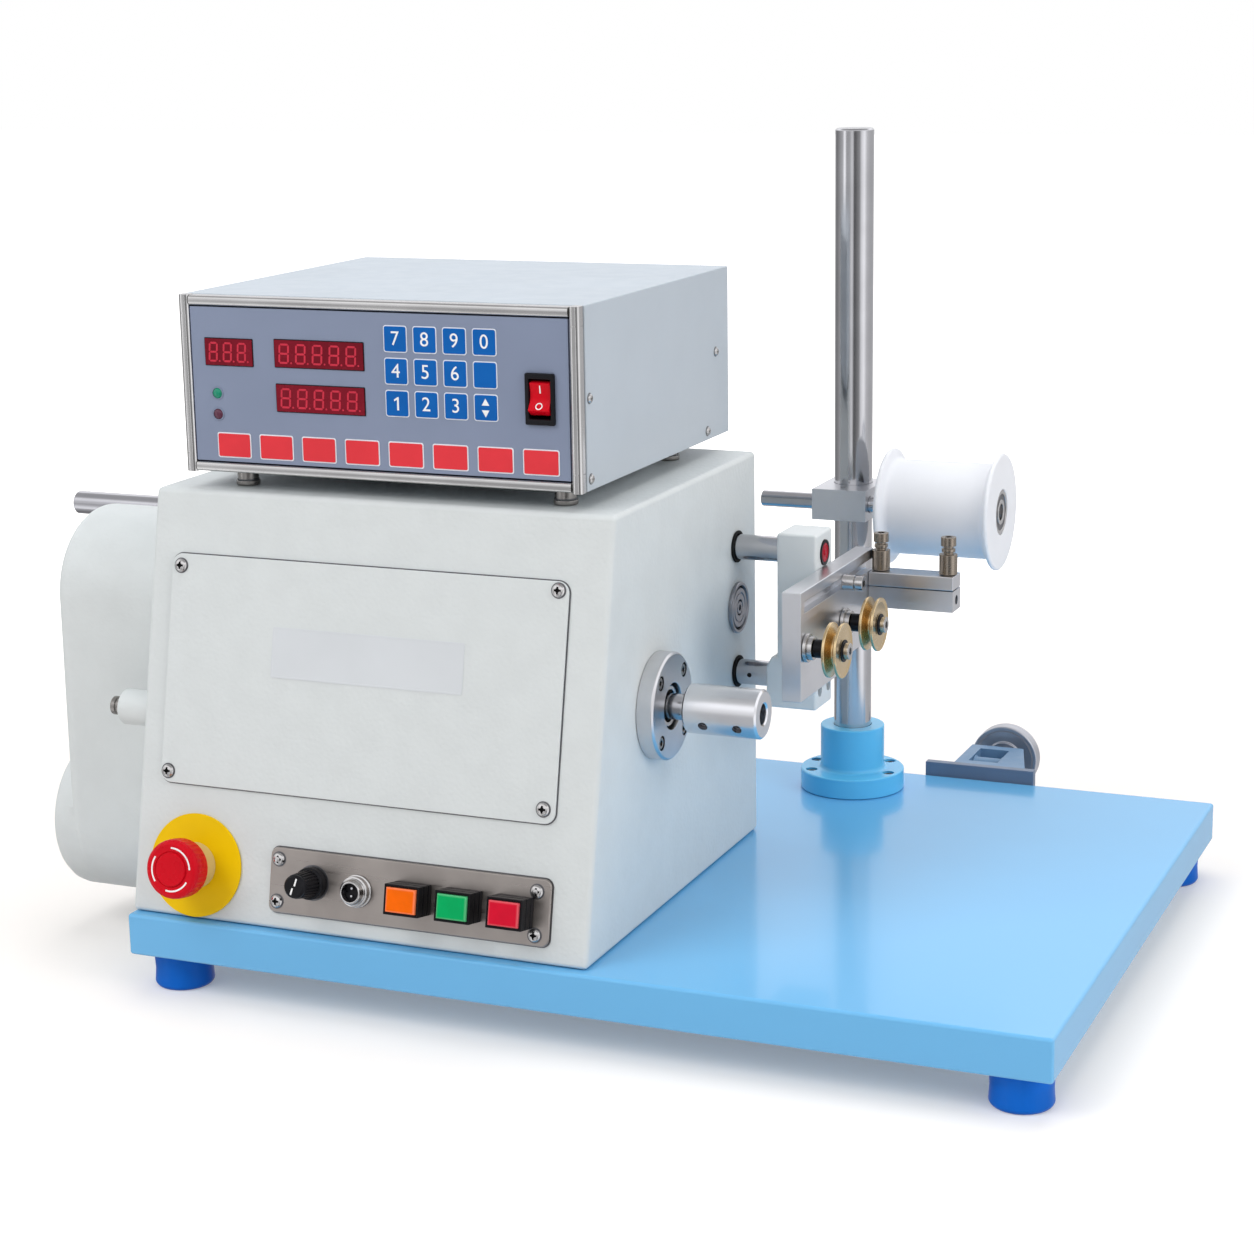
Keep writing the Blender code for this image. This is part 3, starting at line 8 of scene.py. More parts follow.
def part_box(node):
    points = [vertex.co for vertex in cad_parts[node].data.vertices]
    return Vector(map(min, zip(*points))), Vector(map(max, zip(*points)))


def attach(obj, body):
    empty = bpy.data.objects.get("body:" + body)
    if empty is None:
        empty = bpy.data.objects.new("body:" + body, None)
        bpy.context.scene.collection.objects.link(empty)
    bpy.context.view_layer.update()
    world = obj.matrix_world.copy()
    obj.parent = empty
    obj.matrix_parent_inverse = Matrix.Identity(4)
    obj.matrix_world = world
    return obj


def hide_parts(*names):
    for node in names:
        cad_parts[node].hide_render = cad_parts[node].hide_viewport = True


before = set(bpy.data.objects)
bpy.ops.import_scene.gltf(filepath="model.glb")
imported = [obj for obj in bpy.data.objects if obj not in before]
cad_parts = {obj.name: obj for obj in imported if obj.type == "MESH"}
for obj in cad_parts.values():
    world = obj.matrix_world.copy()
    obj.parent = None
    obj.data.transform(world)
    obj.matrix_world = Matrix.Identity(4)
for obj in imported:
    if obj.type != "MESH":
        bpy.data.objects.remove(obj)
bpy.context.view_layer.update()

# Frames. All sizes below are in millimetres of the base plate's frame:
# X from its left edge, Y from its front edge, Z from its top face.
MM = 0.001
plate_low, plate_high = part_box("base_plate")
ORIGIN = Vector((plate_low.x, plate_low.y, plate_high.z))
BASE = Matrix.Translation(ORIGIN) @ Matrix.Scale(MM, 4)
# The housing's front leans back by RUN over RISE, and FACE is the frame of that front.
RUN, RISE = 51, 243
SLOPE = atan2(RUN, RISE)
FACE = BASE @ Matrix.Translation((0, 6, 0)) @ Matrix.Rotation(pi / 2 - SLOPE, 4, "X")
TO_RIGHT, TO_LEFT = Matrix.Rotation(pi / 2, 4, "Y"), Matrix.Rotation(-pi / 2, 4, "Y")
TO_FRONT, TO_REAR = Matrix.Rotation(pi / 2, 4, "X"), Matrix.Rotation(-pi / 2, 4, "X")

# Points on the axes that several pieces share
SPINDLE, BOSS = (0, 111, 124), (0, 42, 113)
UPPER_ROD, LOWER_ROD, LEAD_SCREW = (0, 243, 190), (0, 243, 112), (0, 243, 152)
ROLLER, CLAMP_SCREW, PLATE_STOP = (0, 368, 196), (0, 400.5, 196), (0, 243, 172.5)
ESTOP, KNOB, SOCKET = (41.5, 31.5, 0), (119.5, 30, 0), (148, 28.5, 0)
POST, WHEEL, CENTRE = (317, 389, 0), (392.5, 0, -4), (0, 0, 0)


def spot(x, y, z, turn=None, frame_of=BASE):
    """Matrix that carries a small part drawn round +Z to a point of a frame."""
    moved = frame_of @ Matrix.Translation((x, y, z))
    return moved @ turn if turn is not None else moved


# Materials
def wire(tree, node, inputs):
    """Sets each input of a node to a value, or links it to an output socket."""
    for key, value in inputs.items():
        if isinstance(value, bpy.types.NodeSocket):
            tree.links.new(value, node.inputs[key])
        else:
            node.inputs[key].default_value = value
    return node


def add_node(tree, kind, inputs, **options):
    node = tree.nodes.new("ShaderNode" + kind)
    for key, value in options.items():
        setattr(node, key, value)
    return wire(tree, node, inputs)


def maths(tree, operation, *values):
    return add_node(tree, "Math", dict(enumerate(values)), operation=operation).outputs[0]


def vectors(tree, operation, *values):
    return add_node(tree, "VectorMath", dict(enumerate(values)), operation=operation).outputs


def mixed(tree, share, first, second):
    """Mix of two colours."""
    node = add_node(tree, "Mix", {}, data_type="RGBA")
    return wire(tree, node, {"Factor": share, "A": first, "B": second}).outputs["Result"]


def object_coords(tree, stretch=None, turned=None):
    """Object coordinates, stretched, or as distance along and from an axis for a turned finish."""
    coords = add_node(tree, "TexCoord", {}).outputs["Object"]
    if turned:
        centre, axis = turned
        across = [0.0 if k == axis else 1.0 for k in range(3)]
        away = vectors(tree, "SUBTRACT", coords, BASE @ Vector(centre))[0]
        far = vectors(tree, "LENGTH", vectors(tree, "MULTIPLY", away, across)[0])["Value"]
        along = add_node(tree, "SeparateXYZ", {0: away}).outputs[axis]
        return add_node(tree, "CombineXYZ", {0: along, 1: far}).outputs[0]
    if stretch:
        return vectors(tree, "MULTIPLY", coords, stretch)[0]
    return coords


def noise(tree, coords, scale):
    return add_node(tree, "TexNoise", {"Vector": coords, "Scale": scale, "Detail": 3.0}).outputs["Fac"]


def ranged(tree, value, low, high, start=0.3, end=0.7, kind="SMOOTHSTEP"):
    return add_node(tree, "MapRange", {"Value": value, "From Min": start, "From Max": end, "To Min": low,
        "To Max": high}, interpolation_type=kind).outputs["Result"]


def look(name, slot, colour, rough, metal, grain, depth, coat=0, tint=0.05, patch=35, spread=0.05,
        stretch=None, turned=None, cells=0, painted_edge_highlight=0, shine=0.22):
    """Principled material with patchy colour and gloss, and a relief: grains per metre, depth in mm."""
    made = bpy.data.materials.new(name)
    made.use_nodes = True
    tree = made.node_tree
    plain, fine = object_coords(tree), object_coords(tree, stretch, turned)
    shade = mixed(tree, ranged(tree, noise(tree, plain, patch), 0, 1), [*(c * (1 - tint) for c in colour), 1],
        [*(min(1, c * (1 + tint)) for c in colour), 1])
    # Optional painted edge highlight: convex edges, found by pointiness, are lightened to stand in for light
    # catching them
    if painted_edge_highlight:
        edge = ranged(tree, add_node(tree, "NewGeometry", {}).outputs["Pointiness"], 0, 1, 0.52, 0.62)
        shade = mixed(tree, edge, shade, [*(min(1, c + painted_edge_highlight) for c in colour), 1])
    gloss = noise(tree, fine, grain) if stretch or turned else noise(tree, plain, patch * 4)
    relief = noise(tree, fine, grain)
    if cells:
        dimple = add_node(tree, "TexVoronoi", {"Vector": plain, "Scale": cells}, feature="SMOOTH_F1")
        relief = maths(tree, "ADD", dimple.outputs["Distance"], relief)
    bump = add_node(tree, "Bump", {"Strength": 1.0, "Distance": depth * MM, "Height": relief})
    wire(tree, tree.nodes["Principled BSDF"], {"Base Color": shade,
        "Roughness": ranged(tree, gloss, max(0.04, rough - spread), rough + spread), "Metallic": metal,
        "Coat Weight": coat, "Coat Roughness": 0.08, "Normal": bump.outputs[0],
        "Specular IOR Level": 0.5 if metal > 0.5 else shine})
    made.diffuse_color = (*colour, 1)
    made["slot"] = slot
    return made


ALONG_X, ALONG_Y, ALONG_Z = (0.02, 1, 1), (1, 0.02, 1), (1, 1, 0.02)

sky = look("sky_enamel", "sky_blue_paint", (0.15, 0.475, 0.815), 0.24, 0, 240, 0.008, coat=0.38, tint=0.012,
    patch=7, spread=0.006, shine=0.4)
sky_deep = look("sky_enamel_turned", "sky_blue_paint", (0.125, 0.56, 0.9), 0.26, 0, 240, 0.01, coat=0.3,
    tint=0.015, patch=20, spread=0.01, shine=0.35)
foot_blue = look("foot_rubber", "blue_rubber", (0.001, 0.13, 0.58), 0.38, 0, 1500, 0.02, tint=0.08,
    shine=0.15)
hammer = look("hammer_enamel", "grey_hammer_paint", (0.655, 0.69, 0.695), 0.4, 0, 330, 0.13, tint=0.015,
    patch=60, spread=0.04, cells=420, shine=0.35)
smooth_grey = look("smooth_enamel", "grey_hammer_paint", (0.7, 0.735, 0.745), 0.36, 0, 420, 0.03, coat=0.1,
    tint=0.02, shine=0.35)
shell = look("shell_enamel", "pale_blue_grey_paint", (0.48, 0.532, 0.585), 0.44, 0, 1300, 0.035, tint=0.02,
    patch=18, shine=0.3)
film = look("panel_film", "slate_panel_film", (0.232, 0.275, 0.385), 0.5, 0, 2600, 0.01, tint=0.03, patch=14,
    shine=0.2)
bezel_steel = look("bezel_satin", "brushed_stainless", (0.55, 0.545, 0.535), 0.2, 1, 420, 0.004,
    stretch=ALONG_X)
bezel_post = look("bezel_satin_upright", "brushed_stainless", (0.6, 0.595, 0.585), 0.2, 1, 420, 0.004,
    stretch=ALONG_Z)
brushed = look("brushed_plate", "brushed_stainless", (0.37, 0.335, 0.31), 0.34, 0.9, 520, 0.01,
    stretch=ALONG_X, spread=0.07, tint=0.09, patch=30)
chrome = look("screw_steel", "polished_steel", (0.56, 0.55, 0.54), 0.22, 1, 700, 0.01)
post_steel = look("drawn_steel", "polished_steel", (0.55, 0.55, 0.565), 0.15, 1, 520, 0.002, stretch=ALONG_Z,
    spread=0.02)
rod_steel = look("ground_rod", "polished_steel", (0.48, 0.48, 0.5), 0.13, 1, 700, 0.002, stretch=ALONG_X,
    spread=0.03)
spindle_steel = look("turned_spindle", "polished_steel", (0.6, 0.61, 0.63), 0.22, 1, 3800, 0.004,
    turned=(SPINDLE, 0))
coupling_alloy = look("turned_coupling", "satin_aluminium", (0.74, 0.745, 0.765), 0.27, 1, 500, 0.0001,
    spread=0.004, turned=(SPINDLE, 0), tint=0.02)
flange_alloy = look("turned_flange", "satin_aluminium", (0.66, 0.66, 0.675), 0.32, 1, 1800, 0.002,
    spread=0.03, turned=(SPINDLE, 0))
block_alloy = look("sawn_alloy", "satin_aluminium", (0.71, 0.715, 0.74), 0.31, 1, 360, 0.002, stretch=ALONG_X,
    spread=0.025, tint=0.03)
plate_alloy = look("milled_plate", "satin_aluminium", (0.78, 0.78, 0.8), 0.31, 1, 420, 0.0015,
    stretch=ALONG_Y, spread=0.025, tint=0.03)
label = look("bare_label", "pale_blue_grey_paint", (0.64, 0.67, 0.7), 0.42, 0, 1800, 0.006, tint=0.02,
    patch=20, shine=0.25)
# Darker than bare steel: a dark steel finish, and partly painted shade for the controller's feet under the
# box
foot_steel = look("foot_steel", "dark_steel", (0.3, 0.285, 0.27), 0.26, 1, 700, 0.01)
cap_steel = look("turned_cap", "dark_steel", (0.3, 0.305, 0.33), 0.34, 0.9, 2400, 0.006,
    turned=((290, 243, 152), 0))
bronze = look("nickel_bronze_turned", "nickel_bronze", (0.32, 0.275, 0.225), 0.28, 1, 900, 0.008,
    stretch=(1, 1, 9))
brass = look("turned_brass", "brass", (0.72, 0.555, 0.325), 0.27, 1, 420, 0.0001, stretch=(4, 1, 1),
    spread=0.004)
# Also used for dark sheets and rings that are painted shadow lines round covers and screw heads
dark_steel = look("dark_oxide_and_shadow", "dark_steel", (0.16, 0.16, 0.17), 0.36, 0.9, 1200, 0.02)
black = look("black_moulding", "black_plastic", (0.008, 0.008, 0.01), 0.36, 0, 1600, 0.018, tint=0.25,
    shine=0.16)
# Also used for black fills in holes, recesses and grooves that are painted shade
rubber = look("black_seal_and_shade", "black_rubber", (0.01, 0.01, 0.01), 0.62, 0, 1800, 0.03, tint=0.3, shine=0.12)
nylon = look("white_nylon_turned", "white_nylon", (0.82, 0.835, 0.875), 0.36, 0, 2600, 0.012, tint=0.012,
    turned=((385, 368, 196), 0))
yellow = look("yellow_disc", "yellow_legend", (0.86, 0.555, 0.002), 0.38, 0, 1200, 0.012, tint=0.03,
    shine=0.15)
cream = look("cream_moulding", "cream_plastic", (0.62, 0.47, 0.19), 0.42, 0, 1400, 0.02, tint=0.06)
red = look("red_moulding", "red_plastic", (0.6, 0.002, 0.012), 0.3, 0, 1400, 0.012, shine=0.14)
slate = look("slate_enamel", "slate_blue_paint", (0.155, 0.2, 0.285), 0.36, 0, 420, 0.03, shine=0.4)
slate_light = look("slate_casting", "slate_blue_paint", (0.15, 0.27, 0.43), 0.36, 0, 500, 0.02, shine=0.4)
wheel_grey = look("turned_wheel", "satin_aluminium", (0.5, 0.51, 0.55), 0.3, 0.9, 1200, 0.003,
    turned=((392.5, 500, -4), 1), spread=0.03)
blue_key = look("blue_key", "slate_panel_film", (0.004, 0.115, 0.43), 0.42, 0, 1500, 0.01, shine=0.13)
cap_red = look("red_cap", "red_plastic", (0.36, 0.003, 0.018), 0.32, 0, 1400, 0.012, shine=0.2)
red_key = look("red_key", "slate_panel_film", (0.74, 0.044, 0.058), 0.44, 0, 1500, 0.01, tint=0.04,
    shine=0.13)
pale_ink = look("pale_ink", "slate_panel_film", (0.8, 0.84, 0.9), 0.45, 0, 1800, 0.008, tint=0.04)
display_red = look("display_window", "slate_panel_film", (0.185, 0.007, 0.018), 0.24, 0, 1500, 0.003,
    tint=0.12, patch=40, shine=0.12)
segment_red = look("display_segment", "slate_panel_film", (0.58, 0.035, 0.065), 0.3, 0, 1500, 0.004,
    tint=0.06, patch=60, shine=0.12)
led_green = look("led_green", "slate_panel_film", (0.004, 0.26, 0.15), 0.18, 0, 900, 0.006, coat=0.5,
    tint=0.1)
led_dark = look("led_dark_red", "slate_panel_film", (0.1, 0.022, 0.05), 0.18, 0, 900, 0.006, coat=0.5,
    tint=0.1)
white_ink = look("white_ink", "white_nylon", (0.88, 0.88, 0.88), 0.45, 0, 1600, 0.01, tint=0.03)
# The lens materials carry a painted highlight on their convex edges
LENSES = {}
for colour, slot, shade in (("orange", "orange_lens", (0.92, 0.14, 0)),
        ("green", "green_lens", (0, 0.39, 0.11)), ("red", "red_plastic", (0.64, 0.006, 0.03))):
    LENSES[colour] = look("lens_%s_glass" % colour, slot, shade, 0.2, 0, 800, 0.006, patch=90, shine=0.12,
        painted_edge_highlight=0.09)


# Mesh builders
def soften(profile, radius, closed=False, segments=4):
    """Rounds the corners of a profile."""
    out = []
    count = len(profile)
    for k, here in enumerate(profile):
        here = Vector(here)
        if not closed and k in (0, count - 1):
            out.append(here)
            continue
        before, after = Vector(profile[k - 1]) - here, Vector(profile[(k + 1) % count]) - here
        bend = pi - before.angle(after, pi)
        if bend < radians(14) or radius <= 0:
            out.append(here)
            continue
        reach = min(radius, 0.45 * before.length, 0.45 * after.length)
        start, end = here + before.normalized() * reach, here + after.normalized() * reach
        for step in range(segments + 1):
            t = step / segments
            out.append(start * (1 - t) ** 2 + here * 2 * t * (1 - t) + end * t * t)
    return out


def lathe_mesh(profile, centre=(0, 0, 0), axis="z", soft=0.4, steps=96, closed=False, rib=None):
    """Turns a profile of (radius, height) about an axis into a closed mesh."""
    shape = bmesh.new()
    rings = []
    cx, cy, cz = centre
    for radius, high in soften(profile, soft, closed):
        loop = []
        for k in range(1 if radius < 1e-6 else steps):
            angle = 2 * pi * k / steps
            r = radius if rib is None else rib(radius, high, k)
            a, b = r * cos(angle), r * sin(angle)
            point = {"x": (high, a, b), "y": (b, high, a), "z": (a, b, high)}[axis]
            loop.append(shape.verts.new((point[0] + cx, point[1] + cy, point[2] + cz)))
        rings.append(loop)
    pairs = list(zip(rings, rings[1:]))
    if closed:
        pairs.append((rings[-1], rings[0]))
    for a, b in pairs:
        for k in range(steps):
            j = (k + 1) % steps
            if len(a) == 1 and len(b) == 1:
                break
            if len(a) == 1:
                shape.faces.new((a[0], b[k], b[j]))
            elif len(b) == 1:
                shape.faces.new((a[k], b[0], a[j]))
            else:
                shape.faces.new((a[k], b[k], b[j], a[j]))
    return shape


def bridge(shape, one, two):
    """Joins two loops of the same count with a band of faces."""
    for k in range(len(one)):
        j = (k + 1) % len(one)
        shape.faces.new((one[k], one[j], two[j], two[k]))


def prism_mesh(outline, low, high, axis="z", shape=None):
    """Extrudes an outline along an axis, into a new mesh or a given one."""
    if shape is None:
        shape = bmesh.new()
    place = "xyz".index(axis)
    ends = [[shape.verts.new((*point[:place], t, *point[place:])) for point in outline] for t in (low, high)]
    for end in ends:
        shape.faces.new(end)
    bridge(shape, *ends)
    return shape


def box_mesh(low, high):
    (x0, y0, z0), (x1, y1, z1) = low, high
    return prism_mesh([(x0, y0), (x1, y0), (x1, y1), (x0, y1)], z0, z1)


def around(radius, turns, x=0, y=0):
    """Points on a circle, at angles in degrees."""
    return [(x + radius * cos(radians(turn)), y + radius * sin(radians(turn))) for turn in turns]


def round_rect(left, low, right, high, radius, steps=8):
    a, b, c, d = left + radius, low + radius, right - radius, high - radius
    return [point for k, centre in enumerate(((c, d), (a, d), (a, b), (c, b)))
        for point in around(radius, [90 * (k + step / steps) for step in range(steps + 1)], *centre)]


def band(first, r1, second, r2, steps=96):
    """Outline drawn tight round two circles, with the same count of points whatever the radii."""
    first, second = Vector(first), Vector(second)
    along = second - first
    heading = atan2(along.y, along.x)
    lean = pi / 2 - atan2(r1 - r2, (along.length_squared - (r1 - r2) ** 2) ** 0.5)
    points = []
    for centre, radius, start, sweep in ((first, r1, heading + lean, 2 * pi - 2 * lean),
            (second, r2, heading - lean, 2 * lean)):
        for step in range(steps // 2 + 1):
            angle = start + sweep * step / (steps // 2)
            points.append((centre.x + radius * cos(angle), centre.y + radius * sin(angle)))
    return points


def cylinder(radius, start, end):
    """Profile of a solid cylinder."""
    return [(0, start), (radius, start), (radius, end), (0, end)]


def mirrored(half, middle):
    """Profile followed by its mirror image about a height."""
    return half + [(radius, 2 * middle - high) for radius, high in reversed(half)]


def tube_cut(x, y, z, radius, start, end, axis="x", steps=48):
    """Round cutter between two heights along an axis through a point."""
    return lathe_mesh(cylinder(radius, start, end), (x, y, z), axis, 0, steps)


def placed(shape, matrix):
    """Moves a mesh within its frame."""
    bmesh.ops.transform(shape, matrix=matrix, verts=shape.verts)
    return shape


def hex_cut(radius, low, high, centre=CENTRE, axis="z"):
    """Cutter for a hexagon socket."""
    return placed(prism_mesh(around(radius, range(30, 390, 60)), low, high, axis), Matrix.Translation(centre))


def linked(name, data):
    """New object of the scene that holds the data."""
    made = bpy.data.objects.new(name, data)
    bpy.context.scene.collection.objects.link(made)
    return made


def to_object(name, shape, m):
    placed(shape, m)
    bmesh.ops.recalc_face_normals(shape, faces=shape.faces)
    mesh = bpy.data.meshes.new(name)
    shape.to_mesh(mesh)
    shape.free()
    return linked(name, mesh)


def baked(made):
    """An object's mesh with its modifiers applied."""
    bpy.context.view_layer.update()
    return bpy.data.meshes.new_from_object(made.evaluated_get(bpy.context.evaluated_depsgraph_get()))


def opened(mesh):
    """Editable copy of a mesh."""
    shape = bmesh.new()
    shape.from_mesh(mesh)
    return shape


def rounded_prism(outline, low, high, axis, width, segments):
    """Prism whose edges are rounded before anything is cut from it."""
    holder = to_object("rounded_form", prism_mesh(outline, low, high, axis), BASE)
    rounding = holder.modifiers.new("edge", "BEVEL")
    rounding.width, rounding.segments = width * MM, segments
    shape = opened(baked(holder))
    bpy.data.objects.remove(holder, do_unlink=True)
    return placed(shape, BASE.inverted())


def smooth(made, sharp):
    """Smooth shading that stays sharp over an angle in degrees."""
    made.data.shade_smooth()
    made.data.set_sharp_from_angle(angle=radians(sharp))
    made.modifiers.new("normals", "WEIGHTED_NORMAL").keep_sharp = True


def make(name, shape, finish, body="machine", nodes=None, m=BASE, edge=0.0, segments=3, cuts=(), joins=(),
        sharp=38):
    """Finishes a mesh: joins, cuts, rounded edges, smooth normals, material and the body it rides on.

    A piece called NODE_dressed stands for the CAD node NODE, unless other nodes are named."""
    made = to_object(name, shape, m)
    helpers = []
    for kind, extras in (("UNION", joins), ("DIFFERENCE", cuts)):
        for extra in extras:
            tool = to_object(name + "_tool", extra, m)
            helpers.append(tool)
            change = made.modifiers.new("cut", "BOOLEAN")
            change.operation, change.solver, change.object = kind, "EXACT", tool
    if edge:
        bevel = made.modifiers.new("edge", "BEVEL")
        bevel.width, bevel.segments = edge * MM, segments
        bevel.limit_method, bevel.angle_limit = "ANGLE", radians(sharp)
    if made.modifiers:
        mesh = baked(made)
        made.modifiers.clear()
        made.data = mesh
    for tool in helpers:
        bpy.data.objects.remove(tool, do_unlink=True)
    made.data.materials.clear()
    made.data.materials.append(finish)
    smooth(made, 50)
    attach(made, body)
    if nodes is None:
        nodes = [name.removesuffix("_dressed")] if name.endswith("_dressed") else []
    if nodes:
        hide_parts(*nodes)
    return made


def turned(name, profile, centre, axis, finish, body="machine", soft=0.4, steps=96, closed=False, rib=None,
        **more):
    """Piece turned from a profile about an axis."""
    return make(name, lathe_mesh(profile, centre, axis, soft, steps, closed, rib), finish, body, **more)


def ring(name, inner, outer, low, high, centre, axis, finish, body="machine", **more):
    """Piece turned from a rectangle that stands clear of its axis."""
    profile = [(inner, low), (outer, low), (outer, high), (inner, high)]
    return turned(name, profile, centre, axis, finish, body, closed=True, **more)


def bar(name, low, high, finish, body="machine", edge=0.5, **more):
    return make(name, box_mesh(low, high), finish, body, edge=edge, **more)


def screw(name, m, radius, height, finish, body="machine", kind="cross"):
    """Screw head drawn round +Z: a domed cross head, or a cylinder with a hexagon socket."""
    r, h = radius, height
    if kind == "cross":
        profile = [(0, h), (r * 0.45, h * 0.97), (r * 0.78, h * 0.76), (r * 0.97, h * 0.4), (r, 0.0), (0, 0)]
        tools = [box_mesh((-r * 0.55, -r * 0.15, h * 0.2), (r * 0.55, r * 0.15, h * 1.2)),
            box_mesh((-r * 0.15, -r * 0.55, h * 0.2), (r * 0.15, r * 0.55, h * 1.2)),
            lathe_mesh([(0, h * 0.2), (r * 0.28, h * 0.2), (r * 0.36, h * 1.2), (0, h * 1.2)], soft=0,
            steps=12)]
        head = lathe_mesh(profile, soft=0.15, steps=40)
        # A black disc deep in the cross recess is painted shade, and a dark ring round the head's foot is a
        # painted shadow line
        turned(name + "_recess_shade", cylinder(r * 0.6, h * 0.24, h * 0.1), CENTRE, "z", rubber, body, m=m,
            soft=0.05, steps=24)
        ring(name + "_shadow_ring", r * 0.9, r * 1.16, 0.02, h * 0.07, CENTRE, "z", dark_steel, body, m=m, soft=0.05,
            steps=40)
    else:
        tools = [hex_cut(r * 0.52, h * 0.35, h * 1.3)]
        head = lathe_mesh(cylinder(r, h, 0), soft=min(0.5, r * 0.15), steps=48)
    return make(name, head, finish, body, m=m, edge=0.08, segments=2, cuts=tools)


def words(name, text, size, m, finish, depth):
    """Generic figures as raised ink."""
    curve = bpy.data.curves.new(name, "FONT")
    curve.body, curve.size, curve.extrude = text, size, depth
    curve.align_x = curve.align_y = "CENTER"
    holder = linked(name, curve)
    shape = opened(baked(holder))
    bpy.data.objects.remove(holder, do_unlink=True)
    bmesh.ops.remove_doubles(shape, verts=shape.verts, dist=0.001)
    return make(name, shape, finish, m=m)


# Base plate and feet
bar("base_plate_dressed", (0, 0, -25), (550, 430, 0), sky, edge=2, segments=5)
foot_profile = [(0, -25.3), (17.5, -25.3), (17.2, -31), (16.9, -37), (17.3, -43), (17.5, -45), (16.2, -47),
    (14.5, -47.3), (0, -47.3)]
for name, x, y in (("front_left", 22, 24), ("front_right", 528, 24), ("rear_left", 22, 406),
        ("rear_right", 528, 406)):
    turned("foot_" + name + "_dressed", foot_profile, (x, y, 0), "z", foot_blue, soft=1.2)

# Housing
lean = RUN / RISE
front_wall = 4 / cos(SLOPE)
inside = [(6 + front_wall - 5 * lean, -5), (274, -5), (274, 239), (6 + front_wall + 239 * lean, 239)]
holes = [(111, 124, 20.8, 284, 292), (243, 190, 9.3, 284, 292), (243, 112, 9.3, 284, 292),
    (243, 152, 11.8, 284, 292), (111, 124, 7.8, -2, 6), (115, 32, 5.3, -2, 6), (243, 190, 8, -2, 6)]
make("housing_dressed", rounded_prism([(6, 0.3), (278, 0.3), (278, 243), (57, 243)], 0, 290, "x", 3, 5),
    hammer, cuts=[prism_mesh(inside, 4, 286, "x")] + [tube_cut(0, y, z, r, a, b) for y, z, r, a, b in holes],
    joins=[lathe_mesh(cylinder(10.5, -20, 2), BOSS, "x", 1.5)])
turned("side_boss_screw", [(0, -28.5), (4.2, -28.5), (5.5, -27.7), (5.5, -25.2), (4.7, -24.8), (4.7, -24.2),
    (5.5, -23.8), (5.5, -20.4), (4.6, -20.2), (4.6, -19), (0, -19)], BOSS, "x", foot_steel, soft=0.25)

# Belt cover with its motor drum
TOP, LOW, DRUM = (118, 167), (115, 23), (0, 115, 21.5)


def cover_form(grow, depth, rim, steps=10):
    """Band round two circles whose far edge is rounded."""
    rings = [(50 + grow, 48 + grow, -0.3 if grow == 0 else 2)]
    for k in range(steps + 1):
        angle = k * pi / 2 / steps
        inset = rim * (1 - cos(angle))
        rings.append((50 + grow - inset, 48 + grow - inset, -depth + rim - rim * sin(angle)))
    shape = bmesh.new()
    loops = [[shape.verts.new((x, y, z)) for y, z in band(TOP, a, LOW, b)] for a, b, x in rings]
    for one, two in zip(loops, loops[1:]):
        bridge(shape, one, two)
    shape.faces.new(loops[0])
    shape.faces.new(loops[-1])
    return shape


drum = [(0, -0.3), (47, -0.3), (47, -90), (46.24, -93.8), (44.07, -97.1), (40.8, -99.24), (37, -100),
    (0, -100)]
hollow = [(0, 2), (44, 2), (44, -90), (37, -97), (0, -97)]
make("belt_cover_dressed", cover_form(0, 85, 10), hammer,
    cuts=[cover_form(-3, 82, 7), lathe_mesh(hollow, DRUM, "x", 1)], joins=[lathe_mesh(drum, DRUM, "x", 0)])

# Front cover, bare name plate and screws on the slope
make("front_cover_dressed", prism_mesh(round_rect(15, 78, 266, 211, 6.5), 0.3, 1.9), hammer, m=FACE,
    edge=0.45)
# A dark sheet just behind the cover's edge is painted shadow in the gap round it
make("front_cover_shadow_gap", prism_mesh(round_rect(14.3, 77.3, 266.7, 211.7, 7.2), 0.02, 0.3), dark_steel, m=FACE)
make("name_plate_bare", prism_mesh(round_rect(84, 144, 205.5, 173, 1.2), 1.9, 2.2), label, m=FACE, edge=0.1,
    segments=2, cuts=[prism_mesh(round_rect(85, 145, 204.5, 172, 0.6), 2.12, 3)])
for k, (u, v) in enumerate(((21, 204), (260, 206), (259, 86), (20, 84.5))):
    screw("cover_screw_%d" % k, spot(u, v, 1.9, frame_of=FACE), 3.9, 2.3, chrome)

# Control plate
make("control_plate_dressed", prism_mesh(round_rect(91.5, 10.5, 267, 48, 4.5), 0.3, 2.3), brushed, m=FACE,
    edge=0.8, segments=4)
# A dark sheet just behind the plate's edge is painted shadow in the gap round it
make("control_plate_shadow_gap", prism_mesh(round_rect(90.9, 9.9, 267.6, 48.6, 5.1), 0.02, 0.3), dark_steel, m=FACE)
for k, (u, v) in enumerate(((96.9, 41.2), (96.9, 17), (258.6, 40.8), (258.6, 16.6))):
    screw("plate_screw_%d" % k, spot(u, v, 2.3, frame_of=FACE), 3.8, 2.2, chrome)


def ribs(inner, outer, low, high, every, share):
    """Rib function for a turned grip: every few steps the radius dips."""
    def change(radius, height, k):
        if inner < radius <= outer and low <= height <= high and (k // every) % 2:
            return radius * share
        return radius
    return change


